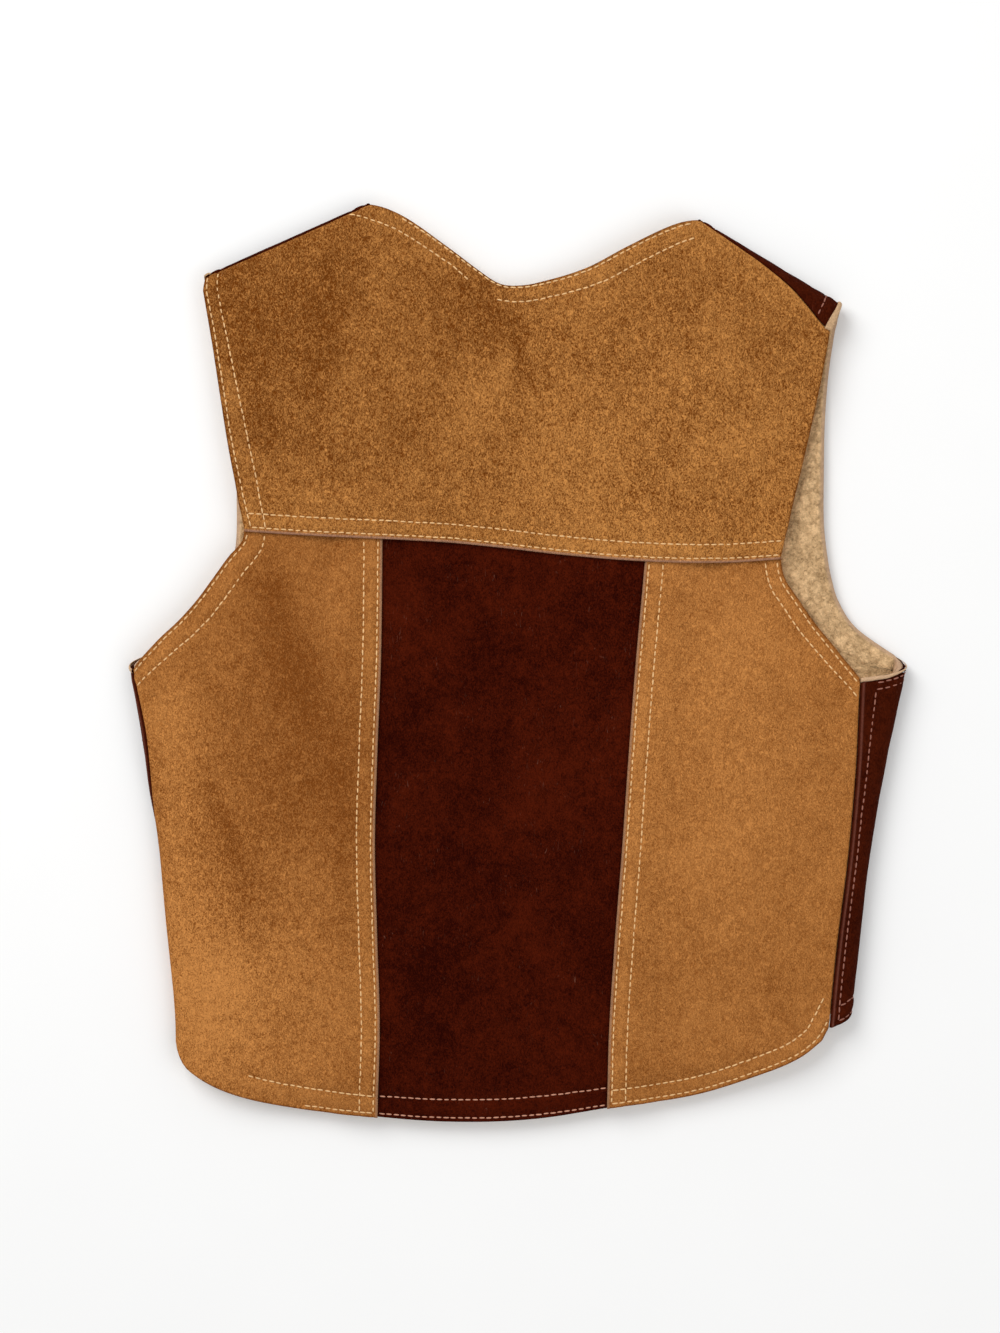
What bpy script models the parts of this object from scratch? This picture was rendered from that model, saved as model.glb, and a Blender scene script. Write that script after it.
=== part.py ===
"""A child's western vest in suede with a curly pile lining, laid flat on its front, back side up.

The vest is a flattened tube. Each cloth piece is drawn in spread-out coordinates: x across and y up from
the hem, as if the layer it belongs to went on flat past the fold. place() then turns whatever lies past a
side fold or a shoulder fold round that fold and on to the other layer. Sizes here are in millimetres, and
are turned into metres when a mesh is made.
"""

import math
from collections import namedtuple

import bmesh
import bpy
from mathutils import Vector

MM = 0.001

# Cloth
SUEDE = 1.4
PILE = 3.8
CLEAR = 0.3
PILE_CLEAR = 0.64
FOLD_RADIUS = 6.6
HALF_TURN = math.pi * FOLD_RADIUS
BACK = "back"
FRONT = "front"
X, Y = 0, 1

# Lapped seams: the lower piece runs in under the upper one, which lies raised over it and then settles
LAP_RISE = SUEDE + CLEAR + 0.1
LAP_UNDER = 9.0
LAP_FLAT = 16.0
LAP_GONE = 27.0

# Lining set in from the suede's edge, at the sides and at the hem, on a back of about this width and length
LINING_IN = 1.0
LINING_UP = 4.0
BACK_WIDTH = 365.0
BACK_LENGTH = 400.0

# The fronts meet edge to edge on this line, and open into a V above the breast point
CENTRE_FRONT = 5.0
FRONT_GAP = 3.0
BREAST_Y = 290.0

# Height above which the cloth folds at the shoulders and no longer at the sides, those of the underarms, and
# those from which the tables of the armholes count
SHOULDERS_FROM = 300.0
UNDERARM_LEFT = 215.0
UNDERARM_RIGHT = 224.5
ARMHOLE_FROM_LEFT = 225.0
ARMHOLE_FROM_RIGHT = 226.5

# Height at which the side seams meet the hem, and of the yoke's lower corners at the armholes
SEAM_FOOT_LEFT = 50.0
SEAM_FOOT_RIGHT = 53.0
YOKE_CORNER = 282.0

# How far in from the armhole's edge the yoke's corner and the side panel's top corner lie
YOKE_CORNER_IN = 0.6
SIDE_CORNER_IN = 1.0

# The hem runs straight to the foot of a side seam from this far in
HEM_CORNER = 3.0

# Bow of each front's V neck edge towards the middle, and how soon the bow of its hem dies out above it
NECK_BOW = 9.0
FRONT_DYING = 6

# Shares of the way up a piece that its side seam, breast and armhole take, and across that a shoulder takes
SIDE_SEAM_SHARE = 0.72
FRONT_SEAM_SHARE = 0.42
BREAST_SHARE = 0.5
FRONT_ARMHOLE_SHARE = 0.5
LINING_SEAM_SHARE = 0.4
LINING_CORNER_SHARE = 0.6
SHOULDER_SHARE = 0.26

# Points that are worked out along a cut edge, and along a seam
EDGE_STEPS = 24
SEAM_STEPS = 16

Section = namedtuple("Section", "y fold_left fold_right seam_left seam_right style_left style_right")
Armhole = namedtuple("Armhole", "y back_left back_right front_left front_right")
Hem = namedtuple("Hem", "x back front")
Edge = namedtuple("Edge", "x y")
Shoulder = namedtuple("Shoulder", "share left right")
Swell = namedtuple("Swell", "x y half_width half_length turn rise")

# Body up to the underarm. The folds are the outermost lines of the flat vest. A seam column is the distance
# round the cloth from that line to the side seam, towards the back. The style lines are the two seams that
# run down the back.
SECTIONS = (
    Section(0, -155.6, 171.8, -16.0, 14.8, -56.2, 56.5),
    Section(45, -157.7, 174.0, -13.0, 14.8, -56.6, 55.6),
    Section(90, -163.8, 177.2, -8.0, 15.4, -59.6, 56.7),
    Section(135, -170.0, 180.7, -1.0, 15.0, -62.4, 58.5),
    Section(180, -179.0, 186.6, 6.0, 18.6, -62.9, 59.9),
    Section(225, -188.3, 194.4, 3.6, 25.9, -62.9, 61.6),
    Section(270, -197.0, 201.8, 2.4, 30.8, -64.0, 63.9),
    Section(300, -203.0, 206.8, 2.0, 34.8, -65.0, 65.2),
)

ARMHOLES = (
    Armhole(222, -180.0, 172.4, -177.0, 226.0),
    Armhole(227, -175.5, 168.8, -171.7, 210.5),
    Armhole(232, -171.0, 165.0, -166.5, 198.5),
    Armhole(240, -163.0, 158.5, -158.5, 184.0),
    Armhole(250, -154.7, 149.5, -150.5, 169.5),
    Armhole(262, -146.5, 140.5, -143.0, 161.0),
    Armhole(272, -139.9, 133.4, -138.2, 157.4),
    Armhole(282, -132.6, 131.2, -136.9, 155.0),
    Armhole(300, -135.8, 134.2, -137.4, 152.3),
    Armhole(325, -141.6, 139.2, -139.0, 151.3),
    Armhole(350, -146.6, 144.0, -143.2, 150.8),
    Armhole(375, -151.4, 148.2, -148.8, 151.8),
    Armhole(395, -155.6, 151.0, -154.0, 154.0),
)

HEMS = (
    Hem(-174, 50.5, 54.0),
    Hem(-161, 34.0, 53.0),
    Hem(-150, 20.2, 50.5),
    Hem(-130, 9.6, 46.0),
    Hem(-100, 3.2, 37.0),
    Hem(-60, 0.0, 25.0),
    Hem(-20, -1.3, 18.0),
    Hem(20, 1.5, 19.0),
    Hem(60, 9.2, 29.0),
    Hem(100, 17.0, 42.0),
    Hem(130, 28.0, 51.0),
    Hem(150, 37.8, 57.0),
    Hem(163.5, 49.5, 59.8),
    Hem(178, 62.0, 59.8),
    Hem(185, 66.0, 56.2),
    Hem(193, 70.0, 52.4),
)

YOKE_EDGE = (Edge(-133, 284.9), Edge(-94, 283.9), Edge(-36, 283.4), Edge(-7, 281.8), Edge(23, 279.5),
             Edge(64, 277.7), Edge(101, 278.4), Edge(133, 281.6))

NECKLINE = (Edge(-78, 449.1), Edge(-60, 442.2), Edge(-40, 429.5), Edge(-20, 415.9), Edge(-12, 411.5),
            Edge(-4, 410.9), Edge(6, 412.6), Edge(30, 420.6), Edge(50, 431.9), Edge(70, 442.4),
            Edge(84.8, 447.5))

# Shoulder folds, from the neck to the armhole, and how far in from the fold each seam lies on the back
SHOULDER_FOLDS = {-1: (Vector((-78.0, 449.1)), Vector((-157.0, 410.2))),
                  1: (Vector((84.8, 447.5)), Vector((156.0, 408.5)))}
SHOULDER_SEAMS = (Shoulder(0.0, 1.0, 0.5), Shoulder(0.3, 1.3, 2.2), Shoulder(0.5, 1.4, 3.8),
                  Shoulder(0.7, 1.35, 6.8), Shoulder(0.86, 1.2, 11.0), Shoulder(0.96, 1.1, 14.0),
                  Shoulder(1.03, 1.0, 15.2))
SHOULDER_END = {-1: 1.0, 1: 1.03}

# Soft swells and hollows of the back where it lies on the fronts
SWELLS = (
    Swell(3, 405, 30, 40, 0, -3.2),
    Swell(-84, 362, 34, 60, 18, 1.5),
    Swell(82, 350, 32, 58, -14, 1.3),
    Swell(0, 330, 34, 34, 0, -0.6),
    Swell(60, 322, 9, 46, 6, 0.7),
    Swell(-122, 118, 22, 76, 8, 1.5),
    Swell(104, 128, 26, 88, -6, 1.1),
    Swell(4, 150, 30, 90, 0, -0.7),
    Swell(-4, 48, 9, 44, 4, 0.6),
)

# The back's hem droops towards the fronts, except near the side folds
HEM_DROOP = 4.6
HEM_DROOP_WIDTH = 19.0
DROOP_FULL = 95.0
DROOP_GONE = 150.0

# Colour and roughness of each finish
FINISHES = {
    "caramel_suede": ((0.31, 0.115, 0.027), 0.93),
    "tan_suede": ((0.37, 0.138, 0.034), 0.93),
    "oxblood_suede": ((0.047, 0.006, 0.002), 0.92),
    "brown_suede": ((0.055, 0.012, 0.005), 0.92),
    "cream_pile": ((0.60, 0.38, 0.20), 0.97),
}


def through(knots, values, at):
    """A smooth curve's value through the knots, straight on past either end."""
    last = len(knots) - 1
    if at <= knots[0] or at >= knots[last]:
        a, b = (0, 1) if at <= knots[0] else (last, last - 1)
        return values[a] + (at - knots[a]) * (values[b] - values[a]) / (knots[b] - knots[a])
    k = max(i for i in range(last) if knots[i] <= at)

    def slope(i):
        low, high = max(i - 1, 0), min(i + 1, last)
        return (values[high] - values[low]) / (knots[high] - knots[low])

    width = knots[k + 1] - knots[k]
    t = (at - knots[k]) / width
    return (
        (2 * t**3 - 3 * t**2 + 1) * values[k]
        + (t**3 - 2 * t**2 + t) * width * slope(k)
        + (3 * t**2 - 2 * t**3) * values[k + 1]
        + (t**3 - t**2) * width * slope(k + 1)
    )


def read(table, column, at):
    """A table's named column at this value of its first column."""
    return through([row[0] for row in table], [getattr(row, column) for row in table], at)


def name_of(side):
    return "left" if side < 0 else "right"


def fold_x(side, y):
    return read(SECTIONS, "fold_" + name_of(side), y)


def shoulder_out(side):
    """The direction straight out of a shoulder fold, away from the vest."""
    neck, end = SHOULDER_FOLDS[side]
    along = (end - neck).normalized()
    return Vector((-along.y, along.x)) if side > 0 else Vector((along.y, -along.x))


def bend(point):
    """How far past the start of its fold's bend a spread-out point lies, and the way out of that fold."""
    side = -1 if point.x < 0 else 1
    if point.y < SHOULDERS_FROM:
        return side * (point.x - fold_x(side, point.y)) + FOLD_RADIUS, Vector((side, 0))
    out = shoulder_out(side)
    return out.dot(point - SHOULDER_FOLDS[side][0]) + FOLD_RADIUS, out


def swell(x, y):
    """How much higher than level the back lies here."""
    rise = 0.0
    for row in SWELLS:
        turn = math.radians(row.turn)
        across = (x - row.x) * math.cos(turn) + (y - row.y) * math.sin(turn)
        along = (y - row.y) * math.cos(turn) - (x - row.x) * math.sin(turn)
        rise += row.rise * math.exp(-((across / row.half_width) ** 2) - (along / row.half_length) ** 2)
    over_hem = y - read(HEMS, "back", x)
    clear_of_folds = fade(abs(x - CENTRE_FRONT), DROOP_FULL, DROOP_GONE)
    return rise - HEM_DROOP * fade(over_hem, 0, HEM_DROOP_WIDTH) * clear_of_folds


def place(point, depth, layer):
    """Where a spread-out point of a layer lies in the vest, at this depth in from the outer surface."""
    past, out = bend(point)
    angle = min(max(past, 0) / FOLD_RADIUS, math.pi)
    beyond = max(past - HALF_TURN, 0)
    shift = (FOLD_RADIUS - depth) * math.sin(angle) - beyond - max(past, 0)
    flat = point + out * shift
    height = FOLD_RADIUS - (FOLD_RADIUS - depth) * math.cos(angle)
    on_back = (1 - math.cos(angle)) / 2
    if layer == BACK:
        height = 2 * FOLD_RADIUS - height
        on_back = 1 - on_back
    return Vector((flat.x, flat.y, height + on_back * swell(flat.x, flat.y)))


def fade(distance, full, gone):
    """1 up to full, 0 from gone on, and a smooth step between."""
    share = min(max((gone - distance) / (gone - full), 0.0), 1.0)
    return share * share * (3 - 2 * share)


def past_bend(inset, layer):
    """Distance round the cloth from the bend's start to a line that is seen this far in from the fold."""
    if inset >= FOLD_RADIUS:
        flat = inset - FOLD_RADIUS
        return -flat if layer == BACK else HALF_TURN + flat
    angle = math.asin((FOLD_RADIUS - inset) / FOLD_RADIUS)
    return FOLD_RADIUS * (angle if layer == BACK else math.pi - angle)


def side_seam(side, y, layer):
    """A spread-out point of the side seam."""
    girth = read(SECTIONS, "seam_" + name_of(side), y) + (-CLEAR / 2 if layer == FRONT else CLEAR / 2)
    past = HALF_TURN / 2 + (girth if layer == FRONT else -girth)
    return Vector((fold_x(side, y) + side * (past - FOLD_RADIUS), y))


def shoulder_seam(side, share, layer):
    """A spread-out point of the shoulder seam, at a share of the way from neck to armhole."""
    neck, end = SHOULDER_FOLDS[side]
    inset = read(SHOULDER_SEAMS, name_of(side), share) + (-CLEAR / 2 if layer == FRONT else CLEAR / 2)
    return neck.lerp(end, share) + shoulder_out(side) * (past_bend(inset, layer) - FOLD_RADIUS)


def evenly(first, last, steps):
    return [first + (last - first) * i / steps for i in range(steps + 1)]


def hem_line(column, first, last):
    return [Vector((x, read(HEMS, column, x))) for x in evenly(first, last, EDGE_STEPS)]


def yoke_line(first, last, raised=0.0):
    return [Vector((x, read(YOKE_EDGE, "y", x) + raised)) for x in evenly(first, last, EDGE_STEPS)]


def armhole_line(column, low, high):
    return [Vector((read(ARMHOLES, column, y), y)) for y in evenly(low, high, EDGE_STEPS)]


def seam_line(side, layer):
    """The side seam from the hem to the underarm."""
    return [side_seam(side, y, layer) for y in evenly(seam_foot(side), underarm(side), SEAM_STEPS)]


def shoulder_line(side, layer):
    """The shoulder seam from the neck to the armhole."""
    return [shoulder_seam(side, share, layer) for share in evenly(0, SHOULDER_END[side], SEAM_STEPS)]


def style_line(side, low, high):
    """The seam down the back between the centre panel and a side panel."""
    column = "style_" + name_of(side)
    return [Vector((read(SECTIONS, column, y), y)) for y in evenly(low, high, EDGE_STEPS)]


class Path:
    """Runs of points joined end to end. Each run takes its share of the way, and is paced along one axis."""

    def __init__(self, axis, *runs):
        self.axis = axis
        total = sum(share for share, _ in runs)
        self.runs = [(share / total, points) for share, points in runs]

    def at(self, t):
        for share, points in self.runs[:-1]:
            if t <= share:
                return self.on_run(points, t / share)
            t -= share
        share, points = self.runs[-1]
        return self.on_run(points, min(t / share, 1.0))

    def on_run(self, points, t):
        first, last = points[0][self.axis], points[-1][self.axis]
        shares = [(point[self.axis] - first) / (last - first) for point in points]
        for a, b, low, high in zip(points, points[1:], shares, shares[1:]):
            if t <= high:
                return a.lerp(b, (t - low) / (high - low))
        return points[-1].copy()


class Patch:
    """A four-sided piece of cloth, spread between its lower, upper, left and right edges.

    The bow of the lower and upper edges dies out over the piece, the sooner the higher dying is.
    """

    def __init__(self, lower, upper, left, right, dying=1):
        self.lower, self.upper, self.left, self.right = lower, upper, left, right
        self.dying = dying

    def at(self, u, v):
        low_left, low_right = self.lower.at(0), self.lower.at(1)
        top_left, top_right = self.upper.at(0), self.upper.at(1)
        low_bow = self.lower.at(u) - (low_left * (1 - u) + low_right * u)
        top_bow = self.upper.at(u) - (top_left * (1 - u) + top_right * u)
        across = self.left.at(v) * (1 - u) + self.right.at(v) * u
        return across + low_bow * (1 - v) ** self.dying + top_bow * v ** self.dying


def steps_between(*stops):
    """Grid lines from pairs of a stop and the number of steps up to it."""
    lines = [stops[0][0]]
    for stop, count in stops[1:]:
        lines += evenly(lines[-1], stop, count)[1:]
    return lines


def finish(name):
    colour, roughness = FINISHES[name]
    material = bpy.data.materials.new(name)
    material.use_nodes = True
    shader = material.node_tree.nodes["Principled BSDF"]
    shader.inputs["Base Color"].default_value = (*colour, 1)
    shader.inputs["Roughness"].default_value = roughness
    shader.inputs["Metallic"].default_value = 0
    material.diffuse_color = (*colour, 1)
    return material


def cloth(name, patch, columns, rows, layer, depth, thickness, finish_name, garment):
    """One cut piece: a grid laid over the patch, and the same grid again on its inner side."""
    bm = bmesh.new()
    bmesh.ops.create_grid(bm, x_segments=len(columns) - 1, y_segments=len(rows) - 1, size=1)
    spots = {}
    for vert in bm.verts:
        i = round((vert.co.x + 1) / 2 * (len(columns) - 1))
        j = round((vert.co.y + 1) / 2 * (len(rows) - 1))
        spots[vert] = patch.at(columns[i], rows[j])
    outer = list(bm.verts)
    grown = bmesh.ops.extrude_face_region(bm, geom=bm.faces[:], use_keep_orig=True)
    inner = [item for item in grown["geom"] if isinstance(item, bmesh.types.BMVert)]
    inner_spots = {vert: spots[min(outer, key=lambda o: (o.co - vert.co).length_squared)] for vert in inner}
    for vert, spot in spots.items():
        vert.co = place(spot, depth(spot), layer) * MM
    for vert, spot in inner_spots.items():
        vert.co = place(spot, depth(spot) + thickness, layer) * MM
    bmesh.ops.recalc_face_normals(bm, faces=bm.faces[:])
    if bm.calc_volume(signed=True) < 0:
        bmesh.ops.reverse_faces(bm, faces=bm.faces[:])
    mesh = bpy.data.meshes.new(name)
    bm.to_mesh(mesh)
    bm.free()
    mesh.materials.append(finish(finish_name))
    mesh.shade_smooth()
    mesh.set_sharp_from_angle(angle=math.radians(40))
    piece = bpy.data.objects.new(name, mesh)
    piece.parent = garment
    bpy.context.scene.collection.objects.link(piece)
    return piece


def level(_):
    return 0.0


def under_suede(_):
    return SUEDE + PILE_CLEAR


def side_panel_depth(side):
    """A side panel is raised where it laps over the centre panel."""

    def depth(spot):
        past_seam = side * (spot.x - read(SECTIONS, "style_" + name_of(side), spot.y))
        return -LAP_RISE * fade(past_seam, LAP_FLAT, LAP_GONE)

    return depth


def yoke_depth(spot):
    """The yoke is raised where it laps over the panels, and twice where a side panel is raised under it."""
    over = fade(spot.y - read(YOKE_EDGE, "y", spot.x), LAP_FLAT, LAP_GONE)
    twice = 0.0
    for side in (-1, 1):
        past_seam = side * (spot.x - read(SECTIONS, "style_" + name_of(side), spot.y))
        twice += fade(abs(past_seam - LAP_GONE / 2), LAP_GONE / 2 + 5, LAP_GONE / 2 + 16)
    return -LAP_RISE * over * (1 + twice)


def underarm(side):
    return UNDERARM_LEFT if side < 0 else UNDERARM_RIGHT


def seam_foot(side):
    """Height of the side seam's lower end."""
    return SEAM_FOOT_LEFT if side < 0 else SEAM_FOOT_RIGHT


def yoke_corner_x(side, inset):
    """Where the yoke's lower edge meets the armhole, this far in from the armhole's edge."""
    return side * (abs(read(ARMHOLES, "back_" + name_of(side), YOKE_CORNER)) - inset)


def back_armhole(side, high):
    """The back's armhole edge from the side seam up to this height."""
    above = armhole_line("back_" + name_of(side), underarm(side) + 12, high)
    return [side_seam(side, underarm(side), BACK)] + above


def side_panel_patch(side):
    """A side back panel, from the side seam in to its style line, with its top end under the yoke."""
    foot = side_seam(side, seam_foot(side), BACK)
    corner_x = yoke_corner_x(side, SIDE_CORNER_IN)
    corner = Vector((corner_x, read(YOKE_EDGE, "y", corner_x) + LAP_UNDER))
    armhole = back_armhole(side, YOKE_CORNER - 1) + [corner]
    outer = Path(Y, (SIDE_SEAM_SHARE, seam_line(side, BACK)), (1 - SIDE_SEAM_SHARE, armhole))
    hem = [foot] + hem_line("back", foot.x - side * HEM_CORNER, style_line(side, 5, 5)[0].x)
    inner = style_line(side, hem[-1].y, 287)
    top = yoke_line(corner_x, inner[-1].x, LAP_UNDER)
    inner[-1] = top[-1].copy()
    return Patch(Path(X, (1, hem)), Path(X, (1, top)), outer, Path(Y, (1, inner)))


def centre_panel_patch():
    """The dark centre back panel, whose sides and top end run in under their neighbours."""
    sides = []
    for side in (-1, 1):
        under = Vector((side * LAP_UNDER, 0))
        low_x = (style_line(side, 5, 5)[0] + under).x
        low = read(HEMS, "back", low_x) + 0.4
        line = [spot + under for spot in style_line(side, low, 287)]
        line[0] = Vector((low_x, low))
        line[-1].y = read(YOKE_EDGE, "y", line[-1].x) + LAP_UNDER
        sides.append(line)
    lower = hem_line("back", sides[0][0].x, sides[1][0].x)
    upper = yoke_line(sides[0][-1].x, sides[1][-1].x, LAP_UNDER)
    return Patch(Path(X, (1, lower)), Path(X, (1, upper)), Path(Y, (1, sides[0])), Path(Y, (1, sides[1])))


def yoke_side(side):
    """The yoke's armhole edge, from its lower corner to the end of the shoulder seam."""
    corner_x = yoke_corner_x(side, YOKE_CORNER_IN)
    corner = Vector((corner_x, read(YOKE_EDGE, "y", corner_x)))
    top = shoulder_line(side, BACK)[-1]
    return [corner] + armhole_line("back_" + name_of(side), YOKE_CORNER + 10, top.y - 8) + [top]


def back_top():
    """The back's upper edge: a shoulder, the neck and the other shoulder."""
    neck = [Vector((x, read(NECKLINE, "y", x))) for x in evenly(NECKLINE[0].x, NECKLINE[-1].x, EDGE_STEPS)]
    left, right = shoulder_line(-1, BACK)[::-1], shoulder_line(1, BACK)
    neck[0], neck[-1] = left[-1].copy(), right[0].copy()
    return Path(X, (SHOULDER_SHARE, left), (1 - 2 * SHOULDER_SHARE, neck), (SHOULDER_SHARE, right))


def yoke_patch():
    """The back yoke, from its lapped lower edge up to the neck and the shoulder seams."""
    left, right = yoke_side(-1), yoke_side(1)
    lower = Path(X, (1, yoke_line(left[0].x, right[0].x)))
    return Patch(lower, back_top(), Path(Y, (1, left)), Path(Y, (1, right)))


def back_lining_patch():
    """The lining under the whole back."""
    sides = []
    for side in (-1, 1):
        low_hole = back_armhole(side, YOKE_CORNER)
        high_hole = [low_hole[-1].copy()] + yoke_side(side)[1:]
        sides.append(Path(Y, (LINING_SEAM_SHARE, seam_line(side, BACK)),
                          (LINING_CORNER_SHARE - LINING_SEAM_SHARE, low_hole),
                          (1 - LINING_CORNER_SHARE, high_hole)))
    left_foot, right_foot = sides[0].at(0), sides[1].at(0)
    hem = [left_foot] + hem_line("back", left_foot.x + HEM_CORNER, right_foot.x - HEM_CORNER) + [right_foot]
    return Patch(Path(X, (1, hem)), back_top(), sides[0], sides[1])


def front_patch(side):
    """A front, from the middle and the V neck out to the side seam, the armhole and over the shoulder."""
    middle_x = CENTRE_FRONT + side * FRONT_GAP / 2
    seam, shoulder = seam_line(side, FRONT), shoulder_line(side, FRONT)
    hem = hem_line("front", middle_x, seam[0].x)
    hem[-1] = seam[0].copy()
    start = ARMHOLE_FROM_LEFT if side < 0 else ARMHOLE_FROM_RIGHT
    rise = armhole_line("front_" + name_of(side), start, ARMHOLES[-1].y)
    fold_end = SHOULDER_FOLDS[side][1] + shoulder_out(side) * (HALF_TURN / 2 - FOLD_RADIUS)
    breast = Vector((middle_x, BREAST_Y))
    neck = [breast.lerp(shoulder[0], t) - Vector((side * NECK_BOW * math.sin(math.pi * t), 0))
            for t in evenly(0, 1, SEAM_STEPS)]
    inner = Path(Y, (BREAST_SHARE, [hem[0], breast]), (1 - BREAST_SHARE, neck))
    outer = Path(Y, (FRONT_SEAM_SHARE, seam), (FRONT_ARMHOLE_SHARE, [seam[-1]] + rise),
                 (1 - FRONT_SEAM_SHARE - FRONT_ARMHOLE_SHARE, [rise[-1].copy(), fold_end, shoulder[-1]]))
    return Patch(Path(X, (1, hem)), Path(X, (1, shoulder)), inner, outer, FRONT_DYING)


def build_back(garment):
    """The three lower back panels and the yoke that laps over them."""
    rows = steps_between((0, 0), (0.1, 4), (SIDE_SEAM_SHARE, 8), (1.0, 6))
    pieces = []
    for side, round_fold in ((-1, 11), (1, 3)):
        columns = steps_between((0, 0), (0.23, round_fold), (0.76, 4), (1.0, 4))
        pieces.append(cloth("back_side_" + name_of(side), side_panel_patch(side), columns, rows, BACK,
                            side_panel_depth(side), SUEDE, "tan_suede", garment))
    rows = steps_between((0, 0), (0.07, 4), (1, 12))
    pieces.append(cloth("back_centre", centre_panel_patch(), evenly(0, 1, 10), rows, BACK, level, SUEDE,
                        "oxblood_suede", garment))
    columns = steps_between((0, 0), (SHOULDER_SHARE, 6), (1 - SHOULDER_SHARE, 14), (0.95, 6), (1, 4))
    rows = steps_between((0, 0), (0.24, 5), (0.92, 7), (1, 3))
    pieces.append(cloth("back_yoke", yoke_patch(), columns, rows, BACK, yoke_depth, SUEDE, "caramel_suede",
                        garment))
    return pieces


def build_back_lining(garment):
    """The back's lining, a little smaller than the back all round."""
    across, up = LINING_IN / BACK_WIDTH, LINING_IN / BACK_LENGTH
    columns = steps_between((across, 0), (0.08, 4), (0.26, 2), (0.74, 11), (0.92, 2), (1 - across, 1))
    rows = steps_between((LINING_UP / BACK_LENGTH, 0), (0.08, 2), (LINING_SEAM_SHARE, 4),
                         (LINING_CORNER_SHARE, 3), (0.93, 4), (1 - up, 3))
    return cloth("lining_back", back_lining_patch(), columns, rows, BACK, under_suede, PILE, "cream_pile",
                 garment)


def build_front(side, garment):
    """A front and its lining, which is a little smaller all round.

    Rows crowd together just above the side seam, where the armhole's edge crosses the side fold.
    """
    name, patch = name_of(side), front_patch(side)
    armhole_end = FRONT_SEAM_SHARE + FRONT_ARMHOLE_SHARE
    columns = {-1: steps_between((0, 0), (0.88, 6), (1, 9)),
               1: steps_between((0, 0), (0.84, 6), (0.98, 9), (1, 1))}
    upper_rows = ((FRONT_SEAM_SHARE + 0.01, 5), (FRONT_SEAM_SHARE + 0.03, 5), (BREAST_SHARE, 4),
                  (armhole_end, 6))
    rows = steps_between((0, 0), (FRONT_SEAM_SHARE, 6), *upper_rows, (1, 7))
    front = cloth("front_" + name, patch, columns[side], rows, FRONT, level, SUEDE, "brown_suede", garment)
    columns = {-1: steps_between((0.012, 0), (0.88, 5), (0.99, 7)),
               1: steps_between((0.012, 0), (0.84, 5), (0.994, 6))}
    rows = steps_between((0.012, 0), (FRONT_SEAM_SHARE, 5), *upper_rows, (0.996, 4))
    lining = cloth("lining_front_" + name, patch, columns[side], rows, FRONT, under_suede, PILE,
                   "cream_pile", garment)
    return [front, lining]


def rest_on_floor(garment, pieces):
    """Centre the vest over the origin, with its underside on the floor."""
    corners = [vert.co for piece in pieces for vert in piece.data.vertices]
    low = Vector([min(co[axis] for co in corners) for axis in range(3)])
    high = Vector([max(co[axis] for co in corners) for axis in range(3)])
    garment.location = (-(low.x + high.x) / 2, -(low.y + high.y) / 2, -low.z)


def main():
    for item in list(bpy.data.objects):
        bpy.data.objects.remove(item)
    garment = bpy.data.objects.new("vest", None)
    bpy.context.scene.collection.objects.link(garment)
    pieces = build_back(garment) + [build_back_lining(garment)]
    for side in (-1, 1):
        pieces += build_front(side, garment)
    rest_on_floor(garment, pieces)


main()
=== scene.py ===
"""Looks of a child's western vest in suede with a curly pile lining, laid flat on its front, back side up.

Every cloth piece is drawn in spread-out coordinates, in millimetres: x across and y up from the hem, as if
its layer went on flat past the fold. place() turns what lies past a side fold or a shoulder fold round that
fold, as in the part's own source, and the frame says where the vest lies.
"""

import math
from collections import namedtuple

import bmesh
import bpy
import numpy as np
from bpy.props import FloatProperty, FloatVectorProperty, PointerProperty
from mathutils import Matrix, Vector, noise


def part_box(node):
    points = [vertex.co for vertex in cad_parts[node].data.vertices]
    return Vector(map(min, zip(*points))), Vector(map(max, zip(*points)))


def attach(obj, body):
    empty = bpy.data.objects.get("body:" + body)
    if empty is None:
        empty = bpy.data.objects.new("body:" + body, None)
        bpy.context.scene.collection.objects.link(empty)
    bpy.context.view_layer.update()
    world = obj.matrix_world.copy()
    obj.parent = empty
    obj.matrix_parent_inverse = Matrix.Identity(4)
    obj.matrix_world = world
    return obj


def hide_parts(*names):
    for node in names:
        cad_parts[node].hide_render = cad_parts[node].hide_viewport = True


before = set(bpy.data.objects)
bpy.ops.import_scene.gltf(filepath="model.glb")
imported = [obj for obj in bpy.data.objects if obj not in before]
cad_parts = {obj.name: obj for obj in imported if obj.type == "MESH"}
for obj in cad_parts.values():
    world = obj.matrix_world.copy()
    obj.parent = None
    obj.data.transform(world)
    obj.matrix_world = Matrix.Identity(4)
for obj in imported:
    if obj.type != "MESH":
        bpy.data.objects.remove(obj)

bl_info = {
    "name": "Western Vest",
    "version": (1, 0, 0),
    "blender": (4, 5, 0),
    "location": "3D View > Sidebar > Vest",
    "description": "Builds the suede, the pile lining and the topstitching of a child's western vest",
    "category": "Add Mesh",
}

MM = 0.001
X, Y = 0, 1
BACK, FRONT = "back", "front"
SIDES = (-1, 1)

# Cloth, as the part's own source has it: its walls, its clearances, the folds and the laps, in millimetres
SUEDE = 1.4
PILE = 3.8
CLEAR = 0.3
PILE_CLEAR = 0.64
FOLD_RADIUS = 6.6
HALF_TURN = math.pi * FOLD_RADIUS
LAP_RISE = SUEDE + CLEAR + 0.1
LAP_UNDER = 9.0
LAP_FLAT = 16.0
LAP_GONE = 27.0

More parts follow.
